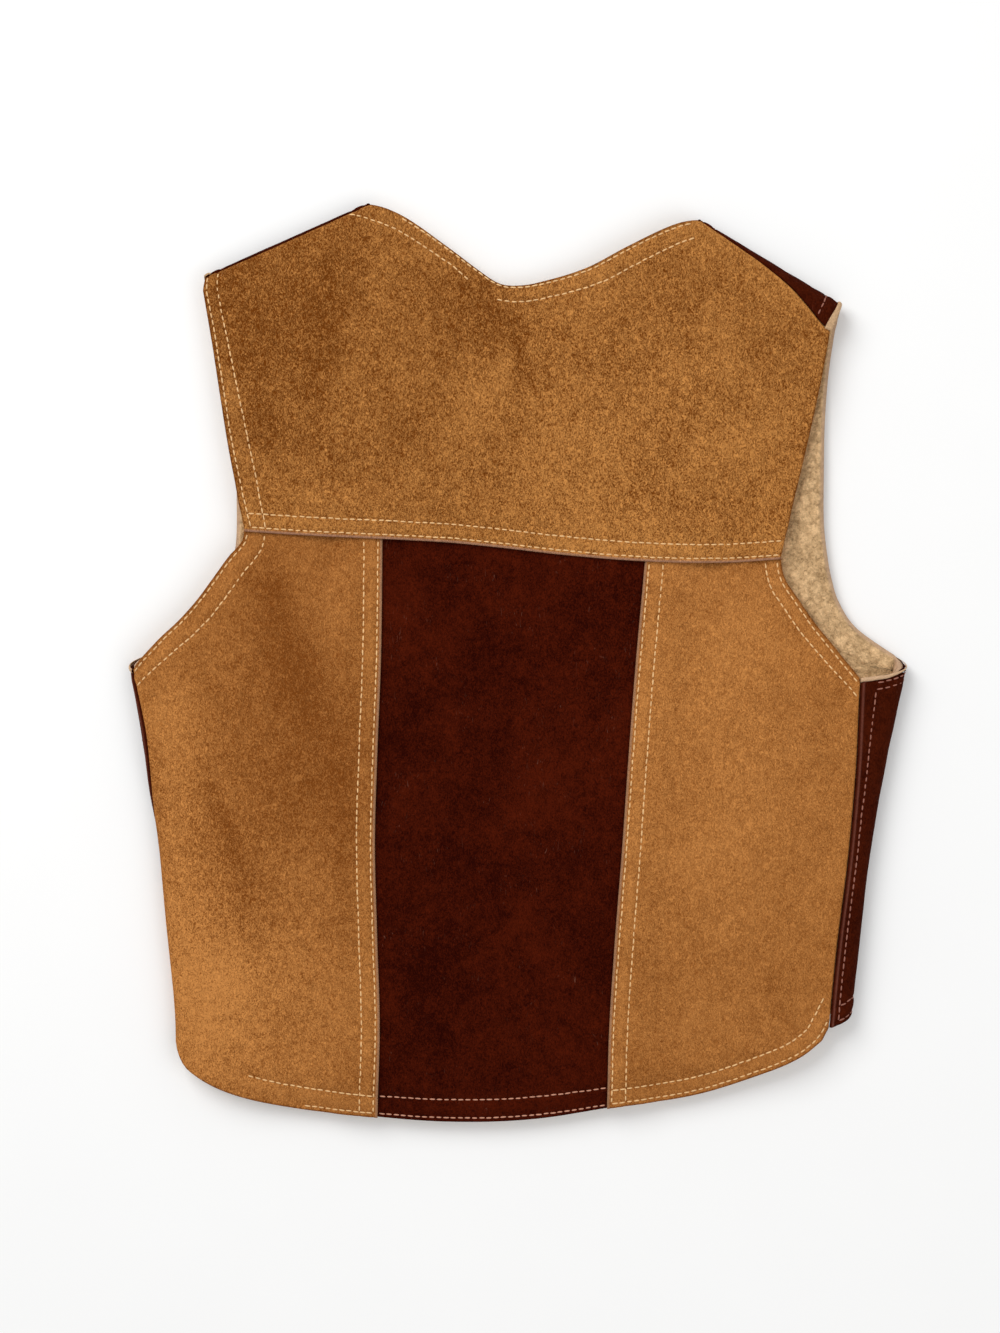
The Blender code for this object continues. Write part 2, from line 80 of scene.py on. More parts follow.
# Places on the vest, and how soon the bow of a front's hem dies out above it
CENTRE_FRONT = 5.0
FRONT_GAP = 3.0
BREAST_Y = 290.0
SHOULDERS_FROM = 300.0
UNDERARM = {-1: 215.0, 1: 224.5}
ABOVE_UNDERARM = 12
ARMHOLE_FROM = {-1: 225.0, 1: 226.5}
SEAM_FOOT = {-1: 50.0, 1: 53.0}
HEM_CORNER = 3.0
STYLE_FOOT = 5
STYLE_TOP = 287
YOKE_CORNER = 282.0
YOKE_CORNER_IN = 0.6
ABOVE_CORNER = 10
BELOW_SHOULDER = 8
SIDE_CORNER_IN = 1.0
NECK_BOW = 9.0
FRONT_DYING = 6

# Shares of the way up a piece that its side seam, breast and armhole take, and across that a shoulder takes
SIDE_SEAM_SHARE = 0.72
FRONT_SEAM_SHARE = 0.42
BREAST_SHARE = 0.5
FRONT_ARMHOLE_SHARE = 0.5
LINING_SEAM_SHARE = 0.4
LINING_CORNER_SHARE = 0.6
SHOULDER_SHARE = 0.26

# How far the hem droops to the surface between the folds
HEM_DROOP = 4.6
HEM_DROOP_WIDTH = 19.0
DROOP_FULL = 95.0
DROOP_GONE = 150.0
EDGE_STEPS = 160

Section = namedtuple("Section", "y fold_left fold_right seam_left seam_right style_left style_right")
Armhole = namedtuple("Armhole", "y back_left back_right front_left front_right")
Hem = namedtuple("Hem", "x back front")
Edge = namedtuple("Edge", "x y")
Shoulder = namedtuple("Shoulder", "share left right")
Swell = namedtuple("Swell", "x y half_width half_length turn rise")

SECTIONS = (
    Section(0, -155.6, 171.8, -16.0, 14.8, -56.2, 56.5),
    Section(45, -157.7, 174.0, -13.0, 14.8, -56.6, 55.6),
    Section(90, -163.8, 177.2, -8.0, 15.4, -59.6, 56.7),
    Section(135, -170.0, 180.7, -1.0, 15.0, -62.4, 58.5),
    Section(180, -179.0, 186.6, 6.0, 18.6, -62.9, 59.9),
    Section(225, -188.3, 194.4, 3.6, 25.9, -62.9, 61.6),
    Section(270, -197.0, 201.8, 2.4, 30.8, -64.0, 63.9),
    Section(300, -203.0, 206.8, 2.0, 34.8, -65.0, 65.2),
)

ARMHOLES = (
    Armhole(222, -180.0, 172.4, -177.0, 226.0),
    Armhole(227, -175.5, 168.8, -171.7, 210.5),
    Armhole(232, -171.0, 165.0, -166.5, 198.5),
    Armhole(240, -163.0, 158.5, -158.5, 184.0),
    Armhole(250, -154.7, 149.5, -150.5, 169.5),
    Armhole(262, -146.5, 140.5, -143.0, 161.0),
    Armhole(272, -139.9, 133.4, -138.2, 157.4),
    Armhole(282, -132.6, 131.2, -136.9, 155.0),
    Armhole(300, -135.8, 134.2, -137.4, 152.3),
    Armhole(325, -141.6, 139.2, -139.0, 151.3),
    Armhole(350, -146.6, 144.0, -143.2, 150.8),
    Armhole(375, -151.4, 148.2, -148.8, 151.8),
    Armhole(395, -155.6, 151.0, -154.0, 154.0),
)

HEMS = (
    Hem(-174, 50.5, 54.0),
    Hem(-161, 34.0, 53.0),
    Hem(-150, 20.2, 50.5),
    Hem(-130, 9.6, 46.0),
    Hem(-100, 3.2, 37.0),
    Hem(-60, 0.0, 25.0),
    Hem(-20, -1.3, 18.0),
    Hem(20, 1.5, 19.0),
    Hem(60, 9.2, 29.0),
    Hem(100, 17.0, 42.0),
    Hem(130, 28.0, 51.0),
    Hem(150, 37.8, 57.0),
    Hem(163.5, 49.5, 59.8),
    Hem(178, 62.0, 59.8),
    Hem(185, 66.0, 56.2),
    Hem(193, 70.0, 52.4),
)

YOKE_EDGE = (Edge(-133, 284.9), Edge(-94, 283.9), Edge(-36, 283.4), Edge(-7, 281.8), Edge(23, 279.5),
             Edge(64, 277.7), Edge(101, 278.4), Edge(133, 281.6))

NECKLINE = (Edge(-78, 449.1), Edge(-60, 442.2), Edge(-40, 429.5), Edge(-20, 415.9), Edge(-12, 411.5),
            Edge(-4, 410.9), Edge(6, 412.6), Edge(30, 420.6), Edge(50, 431.9), Edge(70, 442.4),
            Edge(84.8, 447.5))

SHOULDER_FOLDS = {-1: np.array([(-78.0, 449.1), (-157.0, 410.2)]),
                  1: np.array([(84.8, 447.5), (156.0, 408.5)])}
SHOULDER_SEAMS = (Shoulder(0.0, 1.0, 0.5), Shoulder(0.3, 1.3, 2.2), Shoulder(0.5, 1.4, 3.8),
                  Shoulder(0.7, 1.35, 6.8), Shoulder(0.86, 1.2, 11.0), Shoulder(0.96, 1.1, 14.0),
                  Shoulder(1.03, 1.0, 15.2))
SHOULDER_END = {-1: 1.0, 1: 1.03}

# Soft swells and hollows of the back where it lies on the fronts
SWELLS = (
    Swell(3, 405, 30, 40, 0, -3.2),
    Swell(-84, 362, 34, 60, 18, 1.5),
    Swell(82, 350, 32, 58, -14, 1.3),
    Swell(0, 330, 34, 34, 0, -0.6),
    Swell(60, 322, 9, 46, 6, 0.7),
    Swell(-122, 118, 22, 76, 8, 1.5),
    Swell(104, 128, 26, 88, -6, 1.1),
    Swell(4, 150, 30, 90, 0, -0.7),
    Swell(-4, 48, 9, 44, 4, 0.6),
)

# Finer creases of the back, and those of the fronts, which only lift off the surface
BACK_CREASES = (
    Swell(57, 336, 2.6, 17, 5, -0.45),
    Swell(62, 340, 3.2, 22, 9, 0.3),
    Swell(0, 344, 3.4, 20, -3, -0.4),
    Swell(-110, 330, 4.0, 30, 12, -0.35),
    Swell(-60, 398, 3.5, 22, -38, -0.4),
    Swell(104, 392, 3.6, 24, 34, -0.4),
    Swell(112, 318, 3.2, 26, -8, 0.3),
    Swell(-128, 180, 4.5, 34, -6, -0.55),
    Swell(-146, 120, 5.0, 46, -9, -0.5),
    Swell(-96, 96, 4.2, 38, 5, -0.4),
    Swell(-84, 214, 4.0, 26, -14, 0.3),
    Swell(-118, 44, 3.4, 20, -22, -0.45),
    Swell(142, 176, 4.2, 32, 10, -0.45),
    Swell(124, 92, 4.4, 36, -5, -0.4),
    Swell(88, 196, 3.8, 24, 12, 0.3),
    Swell(96, 40, 3.4, 20, 16, -0.4),
    Swell(1, 28, 2.8, 14, 3, -0.4),
    Swell(22, 120, 4.5, 40, -4, -0.35),
    Swell(-26, 216, 4.2, 34, 6, -0.35),
)
FRONT_CREASES = (
    Swell(-62, 150, 6.0, 50, 8, 0.8),
    Swell(-108, 210, 5.0, 34, -20, 0.7),
    Swell(-36, 92, 4.5, 30, -6, 0.6),
    Swell(-120, 330, 5.0, 36, 12, 0.7),
    Swell(-84, 372, 4.5, 30, -24, 0.6),
    Swell(70, 160, 6.0, 46, -7, 0.8),
    Swell(118, 226, 5.0, 32, 22, 0.7),
    Swell(42, 88, 4.5, 28, 5, 0.6),
    Swell(124, 320, 5.0, 38, -10, 0.7),
    Swell(92, 376, 4.5, 28, 26, 0.6),
)

# Patches where the suede is lighter or darker, most of them where its nap is brushed, with the change in
# shade as the rise
NAP = (
    Swell(-21, 397, 22, 24, 0, -0.30),
    Swell(-52, 405, 22, 15, -30, -0.20),
    Swell(-97, 388, 10, 36, -4, -0.24),
    Swell(-56, 334, 18, 22, 0, -0.12),
    Swell(-80, 352, 8, 26, 6, 0.18),
    Swell(-124, 338, 16, 30, 10, -0.12),
    Swell(30, 338, 22, 26, 0, 0.20),
    Swell(104, 338, 24, 20, 0, 0.20),
    Swell(120, 380, 14, 16, 0, -0.20),
    Swell(82, 412, 26, 16, 0, -0.08),
    Swell(48, 371, 12, 18, 0, -0.10),
    Swell(0, 372, 3.5, 20, 4, -0.26),
    Swell(-8, 370, 3, 12, 4, 0.26),
    Swell(-4, 325, 7, 22, 0, -0.16),
    Swell(-120, 180, 62, 120, 0, -0.20),
    Swell(-102, 213, 13, 52, 24, -0.30),
    Swell(-119, 262, 7, 22, 4, -0.20),
    Swell(-78, 140, 9, 34, 0, -0.22),
    Swell(-134, 136, 5, 30, 24, -0.34),
    # A lighter strip along the left side fold
    Swell(-160, 150, 10, 60, 6, 0.28),
    Swell(-177, 118, 5, 90, 6, 0.34),
    Swell(-120, 92, 12, 26, 20, -0.20),
    Swell(-144, 54, 20, 38, 10, 0.46),
    Swell(-112, 64, 22, 26, 0, 0.22),
    Swell(-88, 244, 10, 22, 10, 0.14),
    Swell(-160, 196, 16, 26, -40, 0.12),
    Swell(106, 250, 26, 28, 0, 0.26),
    Swell(80, 236, 14, 30, 0, 0.06),
    Swell(125, 153, 5, 42, -61, 0.12),
    Swell(100, 60, 50, 24, 0, -0.05),
    Swell(100, 150, 80, 160, 0, 0.17),
    Swell(-115, 60, 60, 60, 0, 0.14),
    Swell(-118, 398, 55, 60, 0, -0.42),
    Swell(60, 350, 80, 60, 0, -0.08),
)

# Patches where the nap is coarser, with how much stronger its mottling is as the rise
COARSE = (
    Swell(-150, 60, 60, 80, 0, 0.9),
    Swell(-160, 160, 24, 70, 0, 0.4),
    Swell(60, 340, 70, 70, 0, 0.25),
    Swell(100, 200, 70, 90, 0, 0.25),
)

# How a border of a piece is made. TURNED is folded under and topstitched, RAW is cut and lapped over its
# neighbour, SEAMED is joined edge to edge, WORN is a seam that is rubbed light, RIDGED is a seam whose cut
# edge stands up, and HIDDEN lies under a neighbour.
TURNED, RAW, SEAMED, WORN, RIDGED, HIDDEN = "turned", "raw", "seamed", "worn", "ridged", "hidden"
Border = namedtuple("Border", "edge make rows")
Piece = namedtuple("Piece", "name patch across up layer depth borders finish covered")

# A stitch row's distances in from its border, in millimetres and evenly spaced along it, and the shares of
# the border between which it shows
Row = namedtuple("Row", "away start end")
BARE = ()
TWIN = (Row((2.2,), 0.0, 1.0), Row((9.0,), 0.0, 1.0))
LEFT_ARMHOLE = (Row((1.7, 1.8), 0.0, 1.0), Row((10.2, 10.6, 10.5, 9.6, 7.6), 0.0, 1.0))
RIGHT_ARMHOLE = (Row((2.2,), 0.0, 1.0), Row((7.6, 8.3, 8.4, 8.0, 6.8), 0.0, 1.0))
YOKE_ARMHOLE = (Row((1.5, 2.1, 2.2, 2.2, 2.6, 3.4), 0.0, 1.0),
                Row((6.6, 7.4, 8.6, 10.0, 10.6, 10.4), 0.0, 1.0))
LEFT_HEM = (Row((2.2,), 0.73, 1.0), Row((11.4, 11.4, 11.4, 10.8), 0.50, 1.0))
CENTRE_HEM = (Row((2.0, 2.4, 2.4, 1.7), 0.0, 1.0), Row((10.9, 11.8, 11.8, 10.2), 0.0, 1.0))
NECK_SECOND = (9.0, 9.8, 9.8, 8.4, 7.8, 6.0, 7.2, 8.0)
NECK = (Row((1.9, 1.7, 1.5, 0.9, 1.0, 1.7), 0.03, 0.9), Row(NECK_SECOND, 0.03, 0.577),
        Row(NECK_SECOND, 0.652, 1.0))
SIDE_STRIP = (Row((4.0, 4.0, 4.0, 4.2, 5.6, 8.0), 0.0, 0.95),)
STRIP_TOP = (Row((2.9,), 0.0, 0.9), Row((6.4, 6.4, 6.4, 6.4, 9.1), 0.0, 1.0))

# How far a row's line runs on past the ends of its border, its steps and the fewest of them that are sewn,
# and how far it stays clear of another row, of a bare border and of the yoke
RUN_ON = 12
ROW_STEP = 0.25
FEWEST_STEPS = 24
ROW_CLEAR = 0.05
BORDER_CLEAR = 1.0
YOKE_CLEAR = 0.6

# How far single stitches stray from their row and lean out of it, and how uneven their length and lift are
STITCH_STRAY = 0.06
STITCH_LEAN = 0.035
STITCH_UNEVEN = 0.04
STITCH_LOOSE = 0.05

# Half widths of a stitch row's dip, of the band between two rows as a share of their gap, and of a raised rim
PRESS_HALF = 0.8
BAND_HALF = 0.38
RIM_HALF = 1.6

# Cut edge beside a ridged seam: how far in from the seam it stands, its half width and its height
RIDGE_AWAY = 1.5
RIDGE_HALF = 0.45
RIDGE_HEIGHT = 0.6

# Slow and quick waves of the suede, with their heights and lengths in millimetres
Wave = namedtuple("Wave", "height size")
SLOW, QUICK = Wave(0.10, 26.0), Wave(0.05, 9.0)

# Grid lines close to a sewn edge, where its relief lies, and close to a plain one, in millimetres from it
SEWN_STOPS = (0.0, 0.25, 0.6, 1.0, 1.45, 1.9, 2.3, 2.8, 3.5, 4.6, 5.8, 7.0, 7.8, 8.4, 9.0, 9.6, 10.2, 10.8,
              11.4, 12.0, 12.8, 14.0)
PLAIN_STOPS = (0.0, 0.5, 1.1, 2.0, 3.4, 5.4)

# Rough width and length of each suede piece, and the steps of its grid across and up, in millimetres
Grid = namedtuple("Grid", "width length across up")
YOKE_GRID = Grid(300, 150, 2.4, 2.4)
SIDE_GRID = Grid(110, 270, 2.0, 2.4)
CENTRE_GRID = Grid(138, 285, 2.2, 2.4)
FRONT_GRID = Grid(170, 380, 2.4, 3.2)

# The same for the lining, with a fine step over the stretches across and up where its pile shows
Pile = namedtuple("Pile", "width length step fine shows_across shows_up")
BACK_PILE = Pile(350, 430, 3.4, 1.2, ((-1, 6), (344, 351)), ((-1, 3),))
FRONT_PILE = {-1: Pile(165, 400, 3.2, 0.85, ((140, 166),), ((150, 372),)),
              1: Pile(165, 400, 3.2, 0.85, ((118, 166),), ((150, 372),))}

# Shares of the clumps and of the curls in the pile's height, and where its height is level. Then its loft
# where it is pressed, what is added to the loft and to its height in the open, and how far a bare edge dips
CLUMP_SHARE = 0.62
CURL_SHARE = 0.38
LEVEL_LUMP = 0.25
PRESSED_LOFT = 0.35
FREE_LOFT = 0.9
FREE_RISE = 0.8
BARE_DIP = 0.9

# Width of the lining where it is turned out over a front's armhole edge, evenly spaced from the side seam up
# and over the shoulder, the width at which it is full, its height, how far it hangs over the edge, how deep
# it reaches, and the share of the way down from the shoulder over which it is painted darker, as painted
# shade
ROLL_WIDTH = (1.7, 1.5, *[0.1] * 15, 0.8, 2.0, 3.2)
ROLL_FULL = 1.2
ROLL_RISE = 0.75
ROLL_OVER = 0.4
ROLL_DEEP = 0.5
ROLL_SHADED = 0.14


def read(table, column, at):
    """A table's column at these values of its first one, on a smooth curve, and straight on past its ends."""
    knots = np.array([row[0] for row in table], float)
    values = np.array([getattr(row, column) for row in table], float)
    places = np.arange(len(knots))
    low, high = np.maximum(places - 1, 0), np.minimum(places + 1, len(knots) - 1)
    slopes = (values[high] - values[low]) / (knots[high] - knots[low])
    at = np.asarray(at, float)
    held = np.clip(at, knots[0], knots[-1])
    k = np.clip(np.searchsorted(knots, held, side="right") - 1, 0, len(knots) - 2)
    width = knots[k + 1] - knots[k]
    t = (held - knots[k]) / width
    smooth = (
        (2 * t**3 - 3 * t**2 + 1) * values[k]
        + (t**3 - 2 * t**2 + t) * width * slopes[k]
        + (3 * t**2 - 2 * t**3) * values[k + 1]
        + (t**3 - t**2) * width * slopes[k + 1]
    )
    return smooth + (at - held) * np.where(at > held, slopes[-1], slopes[0])


def name_of(side):
    return "left" if side < 0 else "right"


def fade(distance, full, gone):
    """1 up to full, 0 from gone on, and a smooth step between."""
    share = np.clip((gone - distance) / (gone - full), 0.0, 1.0)
    return share * share * (3 - 2 * share)


def shoulder_out(side):
    """The direction straight out of a shoulder fold, away from the vest."""
    neck, end = SHOULDER_FOLDS[side]
    along = (end - neck) / np.linalg.norm(end - neck)
    return np.array([-along[Y], along[X]]) * side


def bend(spots):
    """How far past the start of its fold's bend each spot lies, and the way out of that fold."""
    x, y = spots[..., X], spots[..., Y]
    left = x < 0
    side = np.where(left, -1.0, 1.0)
    fold = np.where(left, read(SECTIONS, "fold_left", y), read(SECTIONS, "fold_right", y))
    at_side = side * (x - fold) + FOLD_RADIUS
    out_side = np.stack([side, np.zeros_like(side)], axis=-1)
    neck = np.where(left[..., None], SHOULDER_FOLDS[-1][0], SHOULDER_FOLDS[1][0])
    out_top = np.where(left[..., None], shoulder_out(-1), shoulder_out(1))
    at_top = (out_top * (spots - neck)).sum(axis=-1) + FOLD_RADIUS
    low = y < SHOULDERS_FROM
    return np.where(low, at_side, at_top), np.where(low[..., None], out_side, out_top)


def heaps(table, x, y):
    """The sum of a table's soft heaps at these places."""
    total = np.zeros_like(x)
    for row in table:
        turn = math.radians(row.turn)
        across = (x - row.x) * math.cos(turn) + (y - row.y) * math.sin(turn)
        along = (y - row.y) * math.cos(turn) - (x - row.x) * math.sin(turn)
        total += row.rise * np.exp(-((across / row.half_width) ** 2) - (along / row.half_length) ** 2)
    return total


def swell(x, y):
    """How much higher than level the back lies here."""
    clear_of_folds = fade(np.abs(x - CENTRE_FRONT), DROOP_FULL, DROOP_GONE)
    droop = HEM_DROOP * fade(y - read(HEMS, "back", x), 0, HEM_DROOP_WIDTH) * clear_of_folds
    return heaps(SWELLS, x, y) + heaps(BACK_CREASES, x, y) - droop


def place(spots, depth, layer):
    """Where spread-out spots of a layer lie in the vest, at these depths in from the outer surface."""
    past, out = bend(spots)
    angle = np.clip(past, 0, HALF_TURN) / FOLD_RADIUS
    beyond = np.maximum(past - HALF_TURN, 0)
    shift = (FOLD_RADIUS - depth) * np.sin(angle) - beyond - np.maximum(past, 0)
    flat = spots + out * shift[..., None]
    height = FOLD_RADIUS - (FOLD_RADIUS - depth) * np.cos(angle)
    on_back = (1 - np.cos(angle)) / 2
    if layer == BACK:
        height = 2 * FOLD_RADIUS - height
        on_back = 1 - on_back
    x, y = flat[..., X], flat[..., Y]
    height = height + on_back * swell(x, y) + (1 - on_back) * heaps(FRONT_CREASES, x, y)
    return np.stack([x, y, height], axis=-1)


def past_bend(inset, layer):
    """Distance round the cloth from the bend's start to a line that is seen this far in from the fold."""
    inset = np.asarray(inset, float)
    angle = np.arcsin(np.clip((FOLD_RADIUS - inset) / FOLD_RADIUS, 0, 1))
    beyond = np.maximum(inset - FOLD_RADIUS, 0)
    return FOLD_RADIUS * angle - beyond if layer == BACK else HALF_TURN - FOLD_RADIUS * angle + beyond


def line(x, y):
    """Spots from their x and y, either of which may be one value for all."""
    return np.stack(np.broadcast_arrays(x, y), axis=-1).astype(float)


def evenly(first, last, steps=EDGE_STEPS):
    """Values at even steps, both ends included."""
    return np.linspace(first, last, steps + 1)


def seam_line(side, layer):
    """The side seam from the hem to the underarm."""
    y = evenly(SEAM_FOOT[side], UNDERARM[side])
    half = -CLEAR / 2 if layer == FRONT else CLEAR / 2
    girth = read(SECTIONS, "seam_" + name_of(side), y) + half
    past = HALF_TURN / 2 + (girth if layer == FRONT else -girth)
    return line(read(SECTIONS, "fold_" + name_of(side), y) + side * (past - FOLD_RADIUS), y)


def shoulder_line(side, layer):
    """The shoulder seam from the neck to the armhole."""
    neck, end = SHOULDER_FOLDS[side]
    share = evenly(0, SHOULDER_END[side])
    half = -CLEAR / 2 if layer == FRONT else CLEAR / 2
    past = past_bend(read(SHOULDER_SEAMS, name_of(side), share) + half, layer) - FOLD_RADIUS
    return neck + (end - neck) * share[:, None] + shoulder_out(side) * past[:, None]


def hem_line(column, first, last):
    x = evenly(first, last)
    return line(x, read(HEMS, column, x))


def yoke_line(first, last, raised=0.0):
    x = evenly(first, last)
    return line(x, read(YOKE_EDGE, "y", x) + raised)


def armhole_line(column, low, high):
    y = evenly(low, high)
    return line(read(ARMHOLES, column, y), y)


def style_line(side, low, high, under=0.0):
    """The seam down the back between the centre panel and a side panel."""
    y = evenly(low, high)
    return line(read(SECTIONS, "style_" + name_of(side), y) + side * under, y)


class Path:
    """Runs of points joined end to end. Each run takes its share of the way, and is paced along one axis."""

    def __init__(self, axis, *runs):
        self.axis = axis
        total = sum(share for share, _ in runs)
        self.runs = [(share / total, np.asarray(run)) for share, run in runs]

    def at(self, t):
        t = np.asarray(t, float)
        spots = np.empty(t.shape + (2,))
        start = 0.0
        for share, run in self.runs:
            reached = t >= start - 1e-9
            pace = (run[:, self.axis] - run[0, self.axis]) / (run[-1, self.axis] - run[0, self.axis])
            way = np.clip((t[reached] - start) / share, 0, 1)
            spots[reached] = np.stack([np.interp(way, pace, run[:, axis]) for axis in (X, Y)], axis=-1)
            start += share
        return spots


class Patch:
    """A four-sided piece of cloth, spread between its lower, upper, left and right edges.

    The bow of the lower and upper edges dies out over the piece, the sooner the higher dying is.
    """

    def __init__(self, lower, upper, left, right, dying=1):
        self.lower, self.upper, self.left, self.right = lower, upper, left, right
        self.dying = dying

    def grid(self, u, v):
        """The spots at these shares of the way across and up, row by row."""
        ends = np.array([0.0, 1.0])
        low, top = self.lower.at(ends), self.upper.at(ends)
        across, up = u[None, :, None], v[:, None, None]
        low_bow = self.lower.at(u)[None] - (low[0] * (1 - across) + low[1] * across)
        top_bow = self.upper.at(u)[None] - (top[0] * (1 - across) + top[1] * across)
        beside = self.left.at(v)[:, None] * (1 - across) + self.right.at(v)[:, None] * across
        return beside + low_bow * (1 - up) ** self.dying + top_bow * up ** self.dying


def yoke_corner(side, inset, raised=0.0):
    """Where the yoke's lower edge meets the armhole, this far in from the armhole's edge."""
    x = side * (abs(float(read(ARMHOLES, "back_" + name_of(side), YOKE_CORNER))) - inset)
    return np.array([[x, float(read(YOKE_EDGE, "y", x)) + raised]])


def back_armhole(side, high):
    """The back's armhole edge from the side seam up to this height."""
    rise = armhole_line("back_" + name_of(side), UNDERARM[side] + ABOVE_UNDERARM, high)
    return np.vstack([seam_line(side, BACK)[-1:], rise])


def side_panel_patch(side):
    seam = seam_line(side, BACK)
    corner = yoke_corner(side, SIDE_CORNER_IN, LAP_UNDER)
    armhole = np.vstack([back_armhole(side, YOKE_CORNER - 1), corner])
    outer = Path(Y, (SIDE_SEAM_SHARE, seam), (1 - SIDE_SEAM_SHARE, armhole))
    style_foot = style_line(side, STYLE_FOOT, STYLE_FOOT)[0, X]
    hem = np.vstack([seam[:1], hem_line("back", seam[0, X] - side * HEM_CORNER, style_foot)])
    inner = style_line(side, hem[-1, Y], STYLE_TOP)
    top = yoke_line(corner[0, X], inner[-1, X], LAP_UNDER)
    inner[-1] = top[-1]
    return Patch(Path(X, (1, hem)), Path(X, (1, top)), outer, Path(Y, (1, inner)))


def centre_panel_patch():
    sides = []
    for side in SIDES:
        low_x = style_line(side, STYLE_FOOT, STYLE_FOOT, LAP_UNDER)[0, X]
        low = float(read(HEMS, "back", low_x)) + 0.4
        edge = style_line(side, low, STYLE_TOP, LAP_UNDER)
        edge[0] = (low_x, low)
        edge[-1, Y] = read(YOKE_EDGE, "y", edge[-1, X]) + LAP_UNDER
        sides.append(edge)
    lower = hem_line("back", sides[0][0, X], sides[1][0, X])
    upper = yoke_line(sides[0][-1, X], sides[1][-1, X], LAP_UNDER)
    return Patch(Path(X, (1, lower)), Path(X, (1, upper)), Path(Y, (1, sides[0])), Path(Y, (1, sides[1])))


def yoke_side(side):
    """The yoke's armhole edge, from its lower corner to the end of the shoulder seam."""
    top = shoulder_line(side, BACK)[-1:]
    rise = armhole_line("back_" + name_of(side), YOKE_CORNER + ABOVE_CORNER, top[0, Y] - BELOW_SHOULDER)
    return np.vstack([yoke_corner(side, YOKE_CORNER_IN), rise, top])


def neck_line():
    x = evenly(NECKLINE[0].x, NECKLINE[-1].x)
    neck = line(x, read(NECKLINE, "y", x))
    neck[0], neck[-1] = shoulder_line(-1, BACK)[0], shoulder_line(1, BACK)[0]
    return neck


def back_top():
    """The back's upper edge: a shoulder, the neck and the other shoulder."""
    return Path(X, (SHOULDER_SHARE, shoulder_line(-1, BACK)[::-1]), (1 - 2 * SHOULDER_SHARE, neck_line()),
                (SHOULDER_SHARE, shoulder_line(1, BACK)))


def yoke_patch():
    """The yoke, with the neck and both shoulders as its upper edge."""
    left, right = yoke_side(-1), yoke_side(1)
    lower = Path(X, (1, yoke_line(left[0, X], right[0, X])))
    return Patch(lower, back_top(), Path(Y, (1, left)), Path(Y, (1, right)))


def back_lining_patch():
    sides = []
    for side in SIDES:
        low_hole = back_armhole(side, YOKE_CORNER)
        high_hole = np.vstack([low_hole[-1:], yoke_side(side)[1:]])
        sides.append(Path(Y, (LINING_SEAM_SHARE, seam_line(side, BACK)),
                          (LINING_CORNER_SHARE - LINING_SEAM_SHARE, low_hole),
                          (1 - LINING_CORNER_SHARE, high_hole)))
    foot = [seam_line(side, BACK)[:1] for side in SIDES]
    hem = hem_line("back", foot[0][0, X] + HEM_CORNER, foot[1][0, X] - HEM_CORNER)
    hem = np.vstack([foot[0], hem, foot[1]])
    return Patch(Path(X, (1, hem)), back_top(), *sides)


def front_edges(side):
    """A front's cut edges: hem, side seam, armhole, end of the shoulder, shoulder, V neck and middle."""
    middle_x = CENTRE_FRONT + side * FRONT_GAP / 2
    seam, shoulder = seam_line(side, FRONT), shoulder_line(side, FRONT)
    hem = hem_line("front", middle_x, seam[0, X])
    hem[-1] = seam[0]
    rise = armhole_line("front_" + name_of(side), ARMHOLE_FROM[side], ARMHOLES[-1].y)
    fold_end = SHOULDER_FOLDS[side][1:] + shoulder_out(side) * (HALF_TURN / 2 - FOLD_RADIUS)
    breast = np.array([middle_x, BREAST_Y])
    t = evenly(0, 1)[:, None]
    neck = breast * (1 - t) + shoulder[0] * t
    neck[:, X] -= side * NECK_BOW * np.sin(math.pi * t[:, 0])
    return {"hem": hem, "seam": seam, "armhole": np.vstack([seam[-1:], rise]), "neck": neck,
            "over": np.vstack([rise[-1:], fold_end, shoulder[-1:]]), "shoulder": shoulder,
            "middle": np.vstack([hem[:1], breast[None]])}


def front_patch(side):
    edges = front_edges(side)
    inner = Path(Y, (BREAST_SHARE, edges["middle"]), (1 - BREAST_SHARE, edges["neck"]))
    outer = Path(Y, (FRONT_SEAM_SHARE, edges["seam"]), (FRONT_ARMHOLE_SHARE, edges["armhole"]),
                 (1 - FRONT_SEAM_SHARE - FRONT_ARMHOLE_SHARE, edges["over"]))
    return Patch(Path(X, (1, edges["hem"])), Path(X, (1, edges["shoulder"])), inner, outer, FRONT_DYING)


def level(spots):
    """The depth of a piece that is raised nowhere."""
    return np.zeros(spots.shape[:-1])


def past_style(spots, side):
    """How far out past a style seam these spots lie."""
    return side * (spots[..., X] - read(SECTIONS, "style_" + name_of(side), spots[..., Y]))


def side_panel_depth(side):
    """A side panel is raised where it laps over the centre panel."""
    return lambda spots: -LAP_RISE * fade(past_style(spots, side), LAP_FLAT, LAP_GONE)


def yoke_depth(spots):
    """The yoke is raised where it laps over the panels, and twice where a side panel is raised under it."""
    over = fade(spots[..., Y] - read(YOKE_EDGE, "y", spots[..., X]), LAP_FLAT, LAP_GONE)
    twice = 0.0
    for side in SIDES:
        off_lap = np.abs(past_style(spots, side) - LAP_GONE / 2)
        twice = twice + fade(off_lap, LAP_GONE / 2 + 5, LAP_GONE / 2 + 16)
    return -LAP_RISE * over * (1 + twice)


